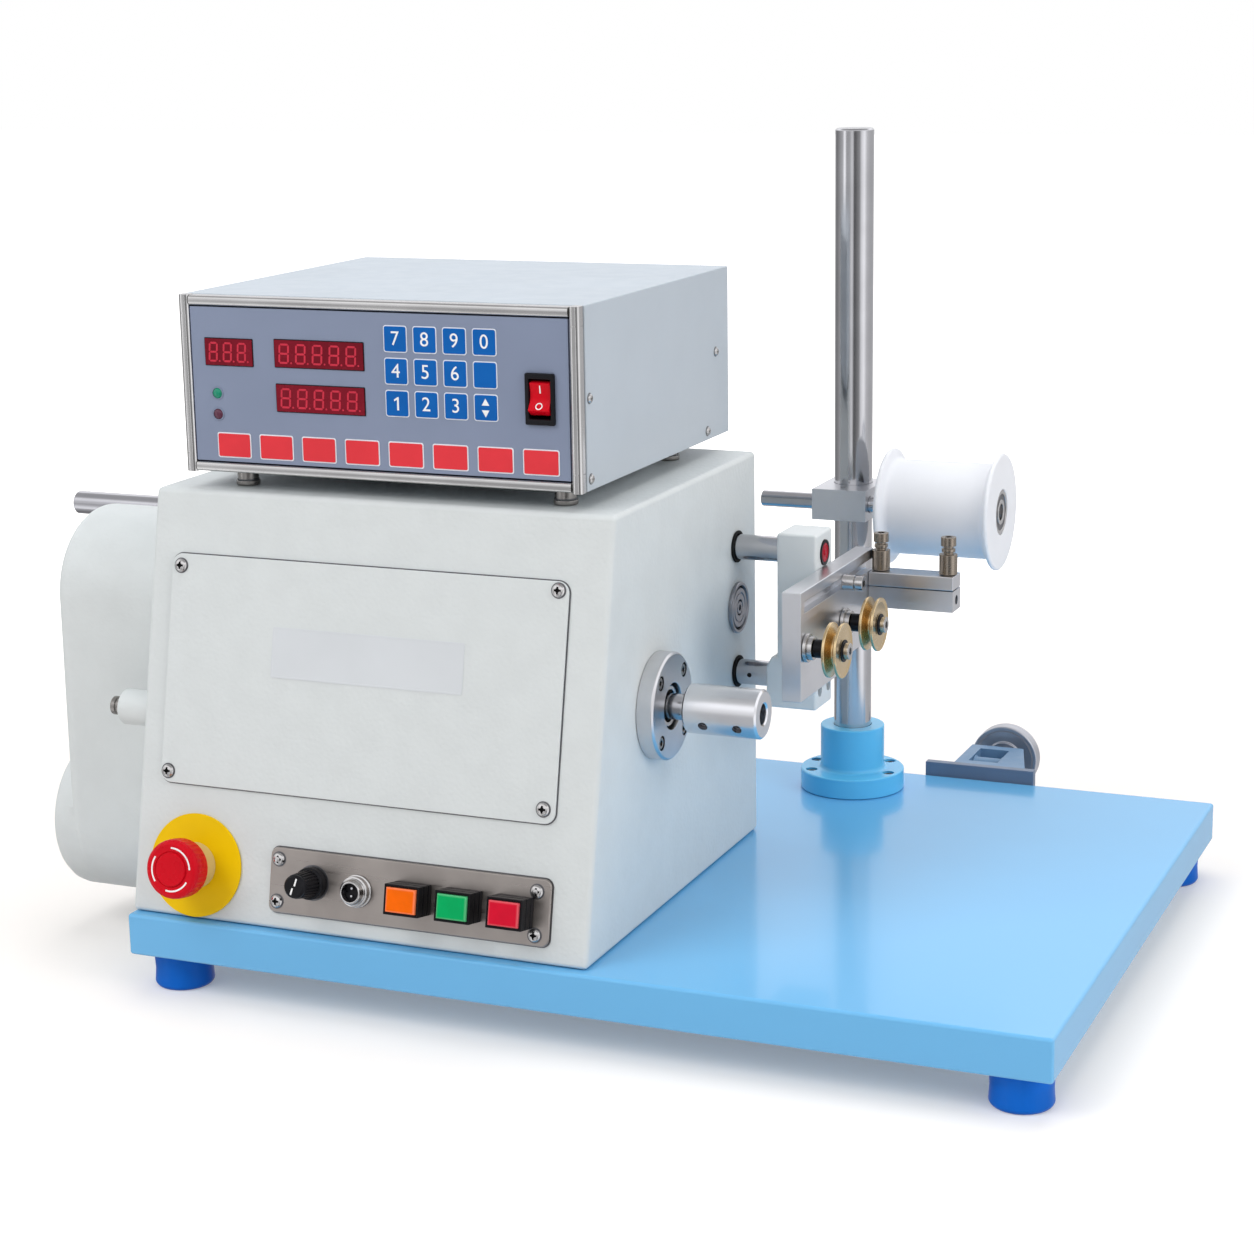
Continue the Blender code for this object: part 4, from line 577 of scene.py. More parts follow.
# Speed knob
knob = [(0, 24.6), (5.5, 24.6), (6.6, 23.6), (6.8, 22.1), (7, 21.9), (7.9, 9.2), (7.7, 8.8), (8.6, 8.6),
    (9.2, 7.6), (9.3, 3.2), (8.9, 2.6), (0, 2.6)]
turned("speed_knob_dressed", knob, KNOB, "z", black, "speed_knob", m=FACE, soft=0.25, steps=144,
    rib=ribs(6.85, 7.95, 9, 22, 3, 0.92))
for k, (low, high, side) in enumerate(((0.5, 5, 0.35), (-4.9, -0.9, -0.5))):
    make("knob_mark_%d" % k, prism_mesh(round_rect(side - 0.5, low, side + 0.5, high, 0.3, 3), 24.55, 24.72),
        white_ink, "speed_knob", m=spot(*KNOB, Matrix.Rotation(radians(-14), 4, "Z"), FACE))
ring("knob_nut", 5, 10.2, 2.3, 2.58, KNOB, "z", dark_steel, m=FACE, soft=0.1)

# Pedal socket
shell_profile = [(5.2, 3.1), (5.2, 11.2), (5.45, 11.6), (5.9, 11.6), (6.3, 11.2), (6.6, 10.2), (7.2, 8.4),
    (7.6, 8.1), (7.6, 7.3), (8.5, 7.1), (8.7, 6.7), (8.7, 4.2), (8.4, 3.7), (9.2, 3.5), (9.4, 3.2),
    (9.4, 2.6), (5.2, 2.6)]
turned("socket_shell", shell_profile, SOCKET, "z", chrome, nodes=["pedal_socket"], m=FACE, soft=0.2,
    closed=True)
turned("socket_insert", cylinder(5.1, 7.2, 2.8), SOCKET, "z", black, m=FACE, soft=0.3)
for k, side in enumerate((2.2, -2.2)):
    turned("socket_pin_%d" % k, [(0, 9.7), (0.7, 9.4), (0.95, 8.7), (0.95, 6.5), (0, 6.5)],
        (SOCKET[0], SOCKET[1] + side, 0), "z", spindle_steel, m=FACE, soft=0.15, steps=24)
make("socket_key", box_mesh((-5.1, -0.8, 7), (-3.9, 0.8, 10.4)), black, m=spot(*SOCKET, frame_of=FACE),
    edge=0.15, segments=2)


def level_faces(shape, parallel, height):
    """Faces of a finished mesh that look out of the housing's front, above a height over it."""
    out = (FACE.to_3x3() @ Vector((0, 0, 1))).normalized()
    return [face for face in shape.faces if face.normal.dot(out) > parallel
        and (FACE.inverted() @ face.calc_center_median()).z > height]


# Square push buttons, with a bevelled and inset top on each lens
for u, colour in ((183.7, "orange"), (215.1, "green"), (246.5, "red")):
    v, half, rise = 28.8, 10.75, 8.6
    grooves = [box_mesh((u - 12, v - 12, w), (u + 12, v + 12, w + 0.5)) for w in (6.4, 12.2)]
    make("button_frame_%s_dressed" % colour, box_mesh((u - half, v - rise, 2.6), (u + half, v + rise, 18.1)),
        black, m=FACE, edge=0.4, cuts=grooves + [box_mesh((u - 9.9, v - 7.75, 0), (u + 9.9, v + 7.75, 22))])
    make("button_core_" + colour, box_mesh((u - 10.3, v - 8.15, 3), (u + 10.3, v + 8.15, 17.7)), black,
        m=FACE, edge=0.15, segments=2, cuts=[box_mesh((u - 9.35, v - 7.2, 9.1), (u + 9.35, v + 7.2, 22)),
        tube_cut(u, v, 0, 3.3, 0, 12, "z")])
    lens = box_mesh((u - 9.05, v - 6.9, 12.4), (u + 9.05, v + 6.9, 19.6))
    made = make("button_lens_%s_dressed" % colour, lens, LENSES[colour], "lens_" + colour, m=FACE,
        joins=[lathe_mesh(cylinder(3, 6, 13), (u, v, 0), "z", 0, 24)])
    made.modifiers.clear()
    shape = opened(made.data)
    top = level_faces(shape, 0.99, 19)
    rim = {edge for face in top for edge in face.edges if len(edge.link_faces) == 2
        and any(other not in top for other in edge.link_faces)}
    bmesh.ops.bevel(shape, geom=list(rim), offset=1.3 * MM, segments=3, profile=0.6, affect="EDGES")
    bmesh.ops.inset_region(shape, faces=level_faces(shape, 0.999, 19.4), thickness=0.5 * MM, depth=0)
    shape.to_mesh(made.data)
    shape.free()
    smooth(made, 24)

# Emergency stop
ring("estop_legend_dressed", 11.3, 30, 1.5, 0.3, ESTOP, "z", yellow, m=FACE, soft=0.25, steps=128)
turned("estop_collar", [(7.3, 14), (12.4, 14), (13, 13.4), (13.2, 2.6), (13.6, 1.8), (11, 1.8), (11, -30),
    (0, -30), (0, -23.4), (7.3, -23.4)], ESTOP, "z", cream, nodes=["estop_body"], m=FACE, soft=0.3)
turned("estop_stem", [(0, 23.3), (5.5, 23.3), (5.5, 19.3), (7, 19.3), (7, -18), (0, -18)], ESTOP, "z", black,
    "estop_plunger", nodes=["estop_plunger"], m=FACE, soft=0.2)
head = [(0, 29), (9.2, 29), (9.5, 28.7), (9.7, 27.6), (10.2, 27.6), (10.5, 28.1), (14.3, 28.15), (15.9, 27.4),
    (16.9, 25.9), (17.2, 24.2), (17.2, 18.2), (17, 16), (16.4, 14.9), (15.2, 14.8), (13.6, 14.8),
    (13.6, 19.6), (5.8, 19.6), (5.8, 23.6), (0, 23.6)]
turned("estop_head_dressed", head, ESTOP, "z", red, "estop_head", m=FACE, soft=0.3, steps=192,
    rib=ribs(16.7, 17.3, 16.2, 24.3, 3, 0.985))
ring("estop_head_ring", 15.7, 16.55, 26.9, 25.2, ESTOP, "z", red, "estop_head", m=FACE, soft=0.2)
for k, (start, sweep) in enumerate(((5, 88), (148, 70), (258, 72))):
    turns = [start + sweep * t / 24 for t in range(25)]
    arc = around(12.9, turns, *ESTOP[:2]) + around(11.9, turns[::-1], *ESTOP[:2])
    make("estop_mark_%d" % k, prism_mesh(arc, 28, 28.3), white_ink, "estop_head", m=FACE, edge=0.06,
        segments=2)

# Controller box
cover_shape = [(19, 253), (19, 355), (269, 355), (269, 253), (267.5, 253), (267.5, 353.5), (20.5, 353.5),
    (20.5, 253)]
make("controller_cover_dressed", prism_mesh(cover_shape[::-1], 68.3, 287, "y"), shell, edge=1.1, segments=4,
    sharp=60)
tray = [(68.3, 253), (287, 253), (287, 353.2), (285, 353.2), (285, 255), (68.3, 255)]
make("controller_tray_dressed", prism_mesh(tray, 20.8, 267.2, "x"), shell, edge=0.4, segments=2, sharp=60)
for k, (x, y) in enumerate(((47.5, 81), (250, 81), (47.5, 233), (250, 233))):
    turned("controller_foot_%d" % k, [(0, 254), (6.2, 254), (6.2, 246.6), (6.6, 246.3), (7, 245.8),
        (7, 243.9), (6.7, 243.3), (0, 243.3)], (x, y, 0), "z", foot_steel, soft=0.25)
    # A dark band where each foot's neck meets its shoulder is painted shade
    ring("controller_foot_line_%d" % k, 6, 6.45, 246.2, 246.9, (x, y, 0), "z", dark_steel, soft=0.1)
for k, (y, z) in enumerate(((72.6, 304), (72.8, 259.6), (265, 305.2), (250.2, 258.6))):
    screw("side_screw_right_%d" % k, spot(269, y, z, TO_RIGHT), 2.7, 1.7, chrome)
    screw("side_screw_left_%d" % k, spot(19, y, z, TO_LEFT), 2.7, 1.7, chrome)
for k, (x, z) in enumerate(((30, 264), (258, 264), (30, 343), (258, 343))):
    screw("rear_screw_%d" % k, spot(x, 287, z, TO_REAR), 2.7, 1.7, chrome)

# Bezel, whose posts have two fine grooves round them
left, right, low, high = 19, 269, 253, 355
notches = [(low + 10.5, low + 10.9), (high - 10.9, high - 10.5)]
for name, x0, x1 in (("left", left, left + 6.6), ("right", right - 6.6, right)):
    sides = ((x0 - 1, x1 + 1, 60.25), (x0 - 1, x0 + 0.25, 70), (x1 - 0.25, x1 + 1, 70))
    make("bezel_post_" + name, prism_mesh(round_rect(x0, 60, x1, 68, 2.6), low, high, "z"), bezel_post,
        nodes=["controller_bezel"] if name == "left" else [], edge=0.5,
        cuts=[box_mesh((p, 55, a), (q, r, b)) for p, q, r in sides for a, b in notches])
for name, z in (("low", low + 0.3), ("top", high - 6.1)):
    outline = [(61.2, z + 0.35), (60.5, z + 1.2), (60.2, z + 2.9), (60.5, z + 4.6), (61.2, z + 5.45),
        (62.4, z + 5.8), (68, z + 5.8), (68, z), (62.4, z)]
    make("bezel_rail_" + name, prism_mesh(outline, left + 6.75, right - 6.75, "x"), bezel_steel, edge=0.25,
        segments=2, sharp=50)
bar("bezel_backing", (left + 6, 63.9, low + 5.5), (right - 6, 67.7, high - 5.5), black, edge=0.2,
    cuts=[box_mesh((235.5, 50, 289), (254.5, 90, 319.4))])

switch_hole = box_mesh((238.5, 55, 291), (251.5, 76, 317.4))
bar("front_panel_dressed", (26.1, 61.5, 259.7), (261.9, 63.5, 348.3), film, edge=0.2, cuts=[switch_hole])
FRONT = 61.5


def plate_on_panel(name, x0, z0, x1, z1, thick, finish, radius, edge=0.18):
    """Thin plate on the panel's face."""
    return make(name, prism_mesh(round_rect(x0, z0, x1, z1, radius, 5), FRONT - thick, FRONT, "y"), finish,
        edge=edge, segments=2)


# Ends of the seven bars of a display figure, in half heights and widths
SEGMENTS = ((0, 1, 1, 1), (0, 0, 1, 0), (0, -1, 1, -1), (0, 1, 0, 0), (1, 1, 1, 0), (0, 0, 0, -1),
    (1, 0, 1, -1))


def digit_outlines(x, z, width, height, stroke):
    """Seven bars and a dot of one display figure."""
    lean = 0.06
    found = []
    for x0, z0, x1, z1 in SEGMENTS:
        ax, az = x + (x0 - 0.5) * width, z + z0 * height / 2
        bx, bz = x + (x1 - 0.5) * width, z + z1 * height / 2
        along = Vector((bx - ax, bz - az)).normalized()
        across = Vector((-along.y, along.x)) * stroke / 2
        a, b = Vector((ax, az)) + along * stroke * 0.62, Vector((bx, bz)) - along * stroke * 0.62
        tip = along * stroke / 2
        corners = [a - tip * 0.9, a + across, b + across, b + tip * 0.9, b - across, a - across]
        found.append([(p.x + (p.y - z) * lean, p.y) for p in corners])
    return found + [around(stroke / 2, range(0, 360, 45), x + width * 0.82, z - height / 2)]


for name, x0, x1, z0, z1, count in (("short", 35.3, 66, 315.3, 330.4, 3),
        ("upper", 80.6, 137.1, 315.7, 331, 5), ("lower", 80.7, 136.9, 290.4, 305.7, 5)):
    plate_on_panel("display_%s_rim" % name, x0 - 0.5, z0 - 0.5, x1 + 0.5, z1 + 0.5, 0.35, black, 0.6)
    plate_on_panel("display_%s_window" % name, x0, z0, x1, z1, 0.8, display_red, 0.4)
    pitch = (x1 - x0 - 3) / count
    shape = bmesh.new()
    for k in range(count):
        x = x0 + 1.2 + pitch * (k + 0.46)
        for outline in digit_outlines(x, (z0 + z1) / 2, pitch * 0.52, (z1 - z0) * 0.68, 1.15):
            prism_mesh(outline, FRONT - 0.92, FRONT - 0.78, "y", shape)
    make("display_%s_figures" % name, shape, segment_red)

LABELS = (("7", "8", "9", "0"), ("4", "5", "6", ""), ("1", "2", "3", "arrows"))
for row, z in enumerate((334, 316, 298)):
    for column, x in enumerate((157.4, 175.6, 193.8, 212)):
        tag = "%d_%d" % (row, column)
        plate_on_panel("key_edge_" + tag, x - 7.35, z - 7.55, x + 7.35, z + 7.55, 0.3, pale_ink, 1.6, 0.1)
        plate_on_panel("key_blue_" + tag, x - 6.75, z - 6.95, x + 6.75, z + 6.95, 0.75, blue_key, 1.1, 0.3)
        text = LABELS[row][column]
        if text == "arrows":
            for side in (1, -1):
                mark = [(x - 2.3, z + side * 1.3), (x + 2.3, z + side * 1.3), (x, z + side * 5.2)]
                make("key_arrow_%s" % ("up" if side > 0 else "down"),
                    prism_mesh(mark, FRONT - 0.87, FRONT - 0.7, "y"), white_ink)
        elif text == "1":
            one = [(0.1, -3.7), (1.25, -3.7), (1.25, 3.75), (0.45, 3.75), (-1.7, 2.3), (-1.7, 1.3),
                (0.1, 2.1)]
            make("key_figure_" + tag, prism_mesh([(x + a, z + b) for a, b in one], FRONT - 0.87, FRONT - 0.7,
                "y"), white_ink)
        elif text:
            words("key_figure_" + tag, text, 11.2, spot(x, FRONT - 0.76, z, TO_FRONT), white_ink, 0.07)
for k in range(8):
    x, z = 51.4 + 27.6 * k, 269.3
    plate_on_panel("key_red_edge_%d" % k, x - 11, z - 7.3, x + 11, z + 7.3, 0.3, pale_ink, 1.3, 0.1)
    plate_on_panel("key_red_%d" % k, x - 10.3, z - 6.6, x + 10.3, z + 6.6, 0.75, red_key, 0.9, 0.3)
for name, z, finish in (("green", 299, led_green), ("dark", 287, led_dark)):
    ring("led_%s_rim" % name, 3.1, 3.7, 0, 0.5, CENTRE, "z", film, m=spot(41.7, FRONT, z, TO_FRONT),
        soft=0.15, steps=48)
    turned("led_" + name, [(0, 1.4), (1.4, 1.25), (2.5, 0.75), (3.15, 0), (0, 0)], CENTRE, "z", finish,
        m=spot(41.7, FRONT, z, TO_FRONT), soft=0.3, steps=48)

# Power rocker in its frame
make("switch_frame", prism_mesh(round_rect(236.3, 290, 253.7, 318.4, 0.9, 5), 59.3, 74.5, "y"), black,
    edge=0.6, cuts=[box_mesh((238.5, 50, 293.2), (251.5, 73, 315.2))])
pivot_y, pivot_z, half_h = 65.81, 304.2, 9.4
raw = [(3, -half_h), (3, half_h), (-4.9, half_h), (-6.9, 7.8), (-5.9, 5.2), (-5.2, 2.6), (-4.9, 0),
    (-5.3, -2.4), (-6.2, -4.6), (-7.6, -7), (-3.4, -half_h)]
REST = -8
tilt = Matrix.Rotation(radians(REST), 2)
rocker_outline = [(pivot_y + p.x, pivot_z + p.y) for p in (tilt @ Vector(corner) for corner in raw)]
make("power_rocker_dressed", prism_mesh(rocker_outline, 238.8, 251.2, "x"), red, "power_rocker", edge=0.4,
    sharp=50)
for name, y, z, turn in (("on", -5.78, 4.6, 15), ("off", -6.3, -4.6, -26)):
    place = (spot(245, pivot_y, pivot_z, Matrix.Rotation(radians(REST), 4, "X"))
        @ Matrix.Translation((0, y, z)) @ Matrix.Rotation(radians(turn), 4, "X") @ TO_FRONT)
    if name == "on":
        make("rocker_mark_on", box_mesh((-0.35, -2.2, -0.1), (0.35, 2.2, 0.14)), white_ink, "power_rocker",
            m=place)
    else:
        ring("rocker_mark_off", 1.5, 2.1, -0.1, 0.14, CENTRE, "z", white_ink, "power_rocker", m=place, soft=0,
            steps=40)

# Spindle, its flange and the coupling
flange = [(13.5, 300.3), (29.8, 300.3), (31, 299.1), (31, 290.3), (20.5, 290.3), (20.5, 262.3), (17.5, 262.3),
    (17.5, 290.1), (13.5, 290.1)]
circle = around(24.5, (45, 135, 225, 315), *SPINDLE[1:])
turned("spindle_flange_dressed", flange, SPINDLE, "x", flange_alloy, soft=0.35, steps=128, closed=True,
    cuts=[tube_cut(0, y, z, 4.3, 296.6, 304) for y, z in circle])
for k, (y, z) in enumerate(circle):
    # Black linings in the bolt counterbores are painted shade
    ring("flange_well_shade_%d" % k, 3.9, 4.25, 296.65, 300.1, (0, y, z), "x", rubber, soft=0, steps=32)
    screw("flange_screw_%d" % k, spot(296.7, y, z, TO_RIGHT), 3.55, 3.2, foot_steel, kind="socket")
ring("bearing_outer", 15.2, 17.2, 277, 290, SPINDLE, "x", chrome, nodes=["spindle_bearing"])
ring("bearing_shield", 9.7, 15.3, 277.8, 289, SPINDLE, "x", black, soft=0.2)
ring("bearing_inner", 7.7, 9.6, 277, 290, SPINDLE, "x", chrome, soft=0.3)
ring("spindle_seal_ring", 9.4, 11.7, 290.4, 298.2, SPINDLE, "x", chrome)
turned("spindle_shaft_dressed", [(0, -49), (6.9, -49), (7.5, -48.4), (7.5, 328.9), (6.9, 329.5), (0, 329.5)],
    SPINDLE, "x", spindle_steel, "spindle", soft=0.1)
set_screws = (323, 343.4)
screw_side = Vector((0, -0.883, -0.469)).to_track_quat("Z", "X").to_matrix().to_4x4()
turned("spindle_coupling_dressed", [(7.75, 310.5), (13, 310.5), (14.2, 311.7), (14.2, 353.8), (13, 355),
    (6.9, 355), (6, 354.1), (6, 329.8), (7.75, 329.8)], SPINDLE, "x", coupling_alloy, "spindle", soft=0.15,
    steps=128, closed=True, cuts=[placed(lathe_mesh(cylinder(2.8, 6.5, 16), soft=0, steps=40),
    Matrix.Translation((x, *SPINDLE[1:])) @ screw_side) for x in set_screws])
for k, x in enumerate(set_screws):
    screw("coupling_set_screw_%d" % k, spot(x, *SPINDLE[1:], screw_side) @ Matrix.Translation((0, 0, 8.6)),
        2.6, 2.9, dark_steel, "spindle", kind="socket")

# Guide rods, their bushes and the lead screw's end cap
for name, z in (("upper", 190), ("lower", 112)):
    turned("rod_bush_%s_dressed" % name, [(8, 291.5), (9.8, 291.5), (9.8, 290.3), (9, 290.3), (9, 268.3),
        (8, 268.3)], (0, 243, z), "x", rubber, soft=0.35, closed=True)
turned("guide_rod_upper_dressed", [(0, -183), (6.9, -183), (7.7, -182.2), (7.7, 342), (7, 342.7), (0, 342.7)],
    UPPER_ROD, "x", rod_steel, "carriage", soft=0.15)
turned("guide_rod_lower_dressed", [(0, 30), (7, 30), (7.7, 30.7), (7.7, 337), (7, 337.7), (0, 337.7)],
    LOWER_ROD, "x", rod_steel, "carriage", soft=0.15,
    cuts=[tube_cut(300.6, 0, 112, 1.45, 233, 238.5, "y", 24)])
# A black plug just inside the pin hole is painted shade
turned("rod_pin_hole_shade", cylinder(1.35, 235.9, 238.2), (300.6, 0, 112), "y", rubber, "carriage", soft=0,
    steps=24)
cap = [(0, 292), (3.8, 292), (4, 291), (4.9, 291), (5.1, 292), (8.3, 292), (8.5, 291.3), (9.3, 291.3),
    (9.5, 292), (11.8, 292), (12.2, 290.9), (13.4, 290.9), (13.8, 292.3), (15.2, 292.4), (15.7, 291.9),
    (15.7, 290.3), (11.5, 290.3), (11.5, 274.3), (6.3, 274.3), (6.3, 288.3), (0, 288.3)]
turned("screw_bearing_dressed", cap, LEAD_SCREW, "x", cap_steel, soft=0.12, steps=112,
    cuts=[hex_cut(2.2, 290.4, 294, LEAD_SCREW, "x")])
# Thin black rings on the floors of the cap's two grooves are painted shade
ring("cap_groove_shade_outer", 12.3, 13.3, 290.95, 291.05, LEAD_SCREW, "x", rubber, soft=0)
ring("cap_groove_shade_inner", 4.05, 4.85, 291.05, 291.15, LEAD_SCREW, "x", rubber, soft=0)

# Traversing guide head
block_shape = [(314, 95), (346, 95), (346, 203), (321, 203), (321, 127), (317.5, 127), (314, 120)]
make("guide_block_dressed", rounded_prism(block_shape, 228, 258, "y", 2.2, 4), smooth_grey, "carriage",
    cuts=[tube_cut(*UPPER_ROD, 8, 310, 343), tube_cut(*LOWER_ROD, 8, 310, 338),
    tube_cut(*UPPER_ROD, 7.9, 345.2, 350)] + [tube_cut(0, y, 106, 3.6, 340, 350) for y in (235.5, 251.4)])
ring("guide_cap_ring", 5.9, 7.8, 345.1, 346.9, UPPER_ROD, "x", black, "carriage", soft=0.3)
turned("guide_cap_red", [(0, 347.2), (1.6, 347.2), (2.1, 346.5), (4.4, 346.5), (5.3, 347), (5.8, 346.6),
    (5.8, 345.1), (0, 345.1)], UPPER_ROD, "x", cap_red, "carriage", soft=0.25)
for k, y in enumerate((235.5, 251.4)):
    screw("block_screw_%d" % k, spot(341.5, y, 106, TO_RIGHT), 3.2, 2.8, dark_steel, "carriage",
        kind="socket")

plate_shape = [(165.5, 117), (231.5, 117), (263.1, 125), (303, 125), (303, 182), (165.5, 182)]
make("guide_plate_dressed", prism_mesh(plate_shape, 346.3, 358, "x"), plate_alloy, "carriage", edge=0.55,
    cuts=[box_mesh((353, 172, 169), (362, 310, 175.5))]
    + [prism_mesh(band((y, 144), 3.3, (y, 152), 3.3, 40), 340, 366, "x") for y in (174.5, 244)])
stop = [(0, 358.2), (4.75, 358.2), (4.75, 365.5), (3, 365.5), (3, 366.5), (4.4, 366.5), (4.4, 371), (0, 371)]
turned("plate_stop", stop, PLATE_STOP, "x", chrome, "carriage", soft=0.35,
    cuts=[hex_cut(2.3, 368.4, 372, PLATE_STOP, "x")])

for name, y in (("front", 174.5), ("rear", 244)):
    at, body = (0, y, 148), "axle_" + name
    shank = [(0, 346.6), (3, 346.6), (3, 358.3), (6.8, 358.3), (6.8, 363.3), (4.6, 363.6), (4.6, 371.7),
        (3.5, 371.7), (3.5, 381.9), (4.8, 381.9), (4.8, 384.9), (0, 384.9)]
    turned("pulley_axle_%s_dressed" % name, shank, at, "x", chrome, body, soft=0.25,
        cuts=[hex_cut(2.4, 383.2, 386, at, "x")])
    ring("axle_sleeve_" + name, 4.5, 5.4, 363.8, 371.6, at, "x", black, body, soft=0.25)
    ring("axle_washer_" + name, 6.9, 8.5, 358.3, 360.3, at, "x", chrome, body, soft=0.3)
    ring("axle_nut_" + name, 5.4, 6.9, 360.8, 363.4, at, "x", chrome, body, soft=0.25)
    groove = [(3.8, 372), (5.9, 372), (6.2, 372.6), (7.2, 372.9), (13.4, 373), (15.9, 372.4), (16.2, 372.7),
        (16.2, 373.7), (15.9, 374.1), (10, 376.2), (9.5, 376.5)]
    turned("wire_pulley_%s_dressed" % name, mirrored(groove, 376.8), at, "x", brass, "pulley_" + name,
        soft=0.12, steps=128, closed=True)
    ring("pulley_hub_" + name, 3.7, 6.5, 380.8, 381.75, at, "x", black, "pulley_" + name, soft=0.2)

screws = (363.7, 406.6)
bar("clamp_bar_lower_dressed", (358.3, 292, 146.7), (412, 309, 159.7), block_alloy, "clamp_arm",
    cuts=[tube_cut(0, 300.5, 153.2, 2.9, 399.5, 414, "x", 32)]
    + [tube_cut(x, 300.5, 0, 2.3, 150, 162, "z", 32) for x in screws])
# A black disc inside the bar's end bore is painted shade
turned("clamp_bar_bore_shade", cylinder(2.8, 410.2, 411), (0, 300.5, 153.2), "x", rubber, "clamp_arm", soft=0,
    steps=32)
bar("clamp_bar_upper_dressed", (358.3, 292, 160.2), (412, 309, 168.8), block_alloy, "clamp_jaw",
    cuts=[tube_cut(x, 300.5, 0, 2.3, 158, 172, "z", 32) for x in screws])
for name, x in zip(("left", "right"), screws):
    thumb = [(0, 151.1), (2, 151.1), (2, 169.1), (5.6, 169.1), (5.6, 181.6), (3, 181.6), (3, 183), (4.2, 183),
        (4.2, 185.2), (3, 185.2), (3, 186.6), (4.7, 186.6), (4.7, 192.2), (0, 192.2)]
    turned("thumb_screw_%s_dressed" % name, thumb, (x, 300.5, 0), "z", bronze, "thumb_" + name,
        cuts=[hex_cut(2.4, 189.6, 194, (x, 300.5, 0))])

# Post, its flange, clamp block and the supply roller
foot_shape = [(12.6, 43), (20.6, 43), (21.1, 42.5), (21.1, 15.9), (21.8, 14.1), (23.2, 13.5), (33.6, 13.5),
    (34.3, 12.8), (34.3, 0.3), (0, 0.3), (0, 3), (12.6, 3)]
bolts = around(28.2, (45, 165, 215, 345), *POST[:2])
turned("post_flange_dressed", foot_shape, POST, "z", sky_deep, soft=0.7, steps=128,
    cuts=[tube_cut(x, y, 0, 3.9, 8.5, 16, "z", 40) for x, y in bolts])
for k, (x, y) in enumerate(bolts):
    screw("post_bolt_%d" % k, spot(x, y, 8.6), 3.5, 3.8, dark_steel, kind="socket")
turned("post_dressed", [(0, 3.3), (12.3, 3.3), (12.3, 431.9), (11.2, 433), (0, 433)], POST, "z", post_steel,
    "post", soft=0.3, steps=128)
bar("clamp_block_dressed", (299, 358, 186), (335, 406, 206), block_alloy, "post_clamp", edge=0.6,
    cuts=[tube_cut(*POST, 12.6, 180, 212, "z", 96), tube_cut(*ROLLER, 5.5, 290, 345),
    tube_cut(317, 368, 0, 1.8, 202, 210, "z", 32), tube_cut(*CLAMP_SCREW, 4.1, 330.8, 340),
    box_mesh((316.2, 400, 180), (317.8, 410, 212))])
screw("clamp_set_screw", spot(317, 368, 202.2), 1.7, 2.6, dark_steel, "post_clamp", kind="socket")
turned("clamp_screw_head", cylinder(3.8, 334.7, 331), CLAMP_SCREW, "x", chrome, "post_clamp",
    cuts=[hex_cut(2.1, 332.4, 336, CLAMP_SCREW, "x")])
turned("roller_axle_dressed", [(0, 262), (4.6, 262), (5.2, 262.6), (5.2, 417.4), (4.6, 418), (0, 418)],
    ROLLER, "x", rod_steel, "roller_axle", soft=0.15)
spool = [(5.5, 355), (14.3, 355), (14.3, 348), (36, 348), (37, 349), (37, 350.2), (36, 351.2), (32.2, 352.6),
    (30.9, 353.6), (30.3, 355.4)]
turned("supply_roller_dressed", mirrored(spool, 385), ROLLER, "x", nylon, "roller", soft=0.7, steps=160,
    closed=True)
for name, a, b in (("inner", 348.5, 354.7), ("outer", 415.3, 421.5)):
    for part, low, high, inset, finish in (("race", 11.6, 14.1, 0, chrome),
            ("shield", 7.9, 11.7, 0.5, dark_steel), ("core", 5.3, 8, 0, chrome)):
        ring("roller_%s_%s" % (name, part), low, high, a + inset, b - inset, ROLLER, "x", finish, "roller",
            soft=0.35)

# Rear plate, bracket and its small wheel
bar("rear_plate_dressed", (355.5, 430.3, -23), (430, 436.3, 9), slate)
bracket = [(373.5, 436.6), (422.5, 436.6), (409.5, 483.6), (373.5, 483.6)]
make("rear_bracket_dressed", prism_mesh(bracket, -21, 8.5), slate_light, edge=1.1,
    cuts=[box_mesh((381.5, 444.6, -1.5), (401.5, 475.6, 12)), tube_cut(392.5, 0, -4, 4.4, 466, 490, "y")])
turned("bracket_drum", mirrored([(0, 381.8), (10.2, 381.8), (10.2, 382.6), (9.2, 383.2)], 391.5),
    (0, 460, -2.6), "x", slate_light, soft=0.3)
wheel = [(0, 507.6), (8, 507.6), (8, 505.1), (18.5, 505.1), (18.5, 507.6), (22.5, 507.6), (23, 507.1),
    (23, 497.1), (22.5, 496.6), (20.2, 496.6), (19.6, 497.4), (12.3, 497.4), (11.8, 496), (8, 496),
    (8, 484.2), (4, 483.9), (4, 469.9), (0, 469.9)]
turned("rear_handwheel_dressed", wheel, WHEEL, "y", wheel_grey, "handwheel", soft=0.5, steps=144)

# Studio: floor, soft boxes, world and camera
# Where the glossy surroundings are darker, as a share of a full turn from -X over -Y and +X to +Y
ROOM = ((0.0, 0.25), (0.08, 0.4), (0.104, 0.5), (0.114, 0.98), (0.142, 0.98), (0.158, 0.34), (0.219, 0.36),
    (0.255, 0.66), (0.275, 0.55), (0.293, 0.08), (0.33, 0.14), (0.383, 0.25), (0.415, 0.7), (0.469, 0.97),
    (0.52, 0.53), (0.575, 0.44), (0.64, 0.4), (0.72, 0.4), (0.78, 0.5), (0.86, 0.4), (0.933, 0.16),
    (1.0, 0.25))
# The same above the horizon, by the height of the direction
SKY = ((0.0, 0.64), (0.28, 0.64), (0.45, 0.9), (0.62, 0.95), (0.76, 0.42), (1.0, 0.32))
FLOOR_REACH = 9
LAMPS_AIM = Vector((0, 0, 0.15))
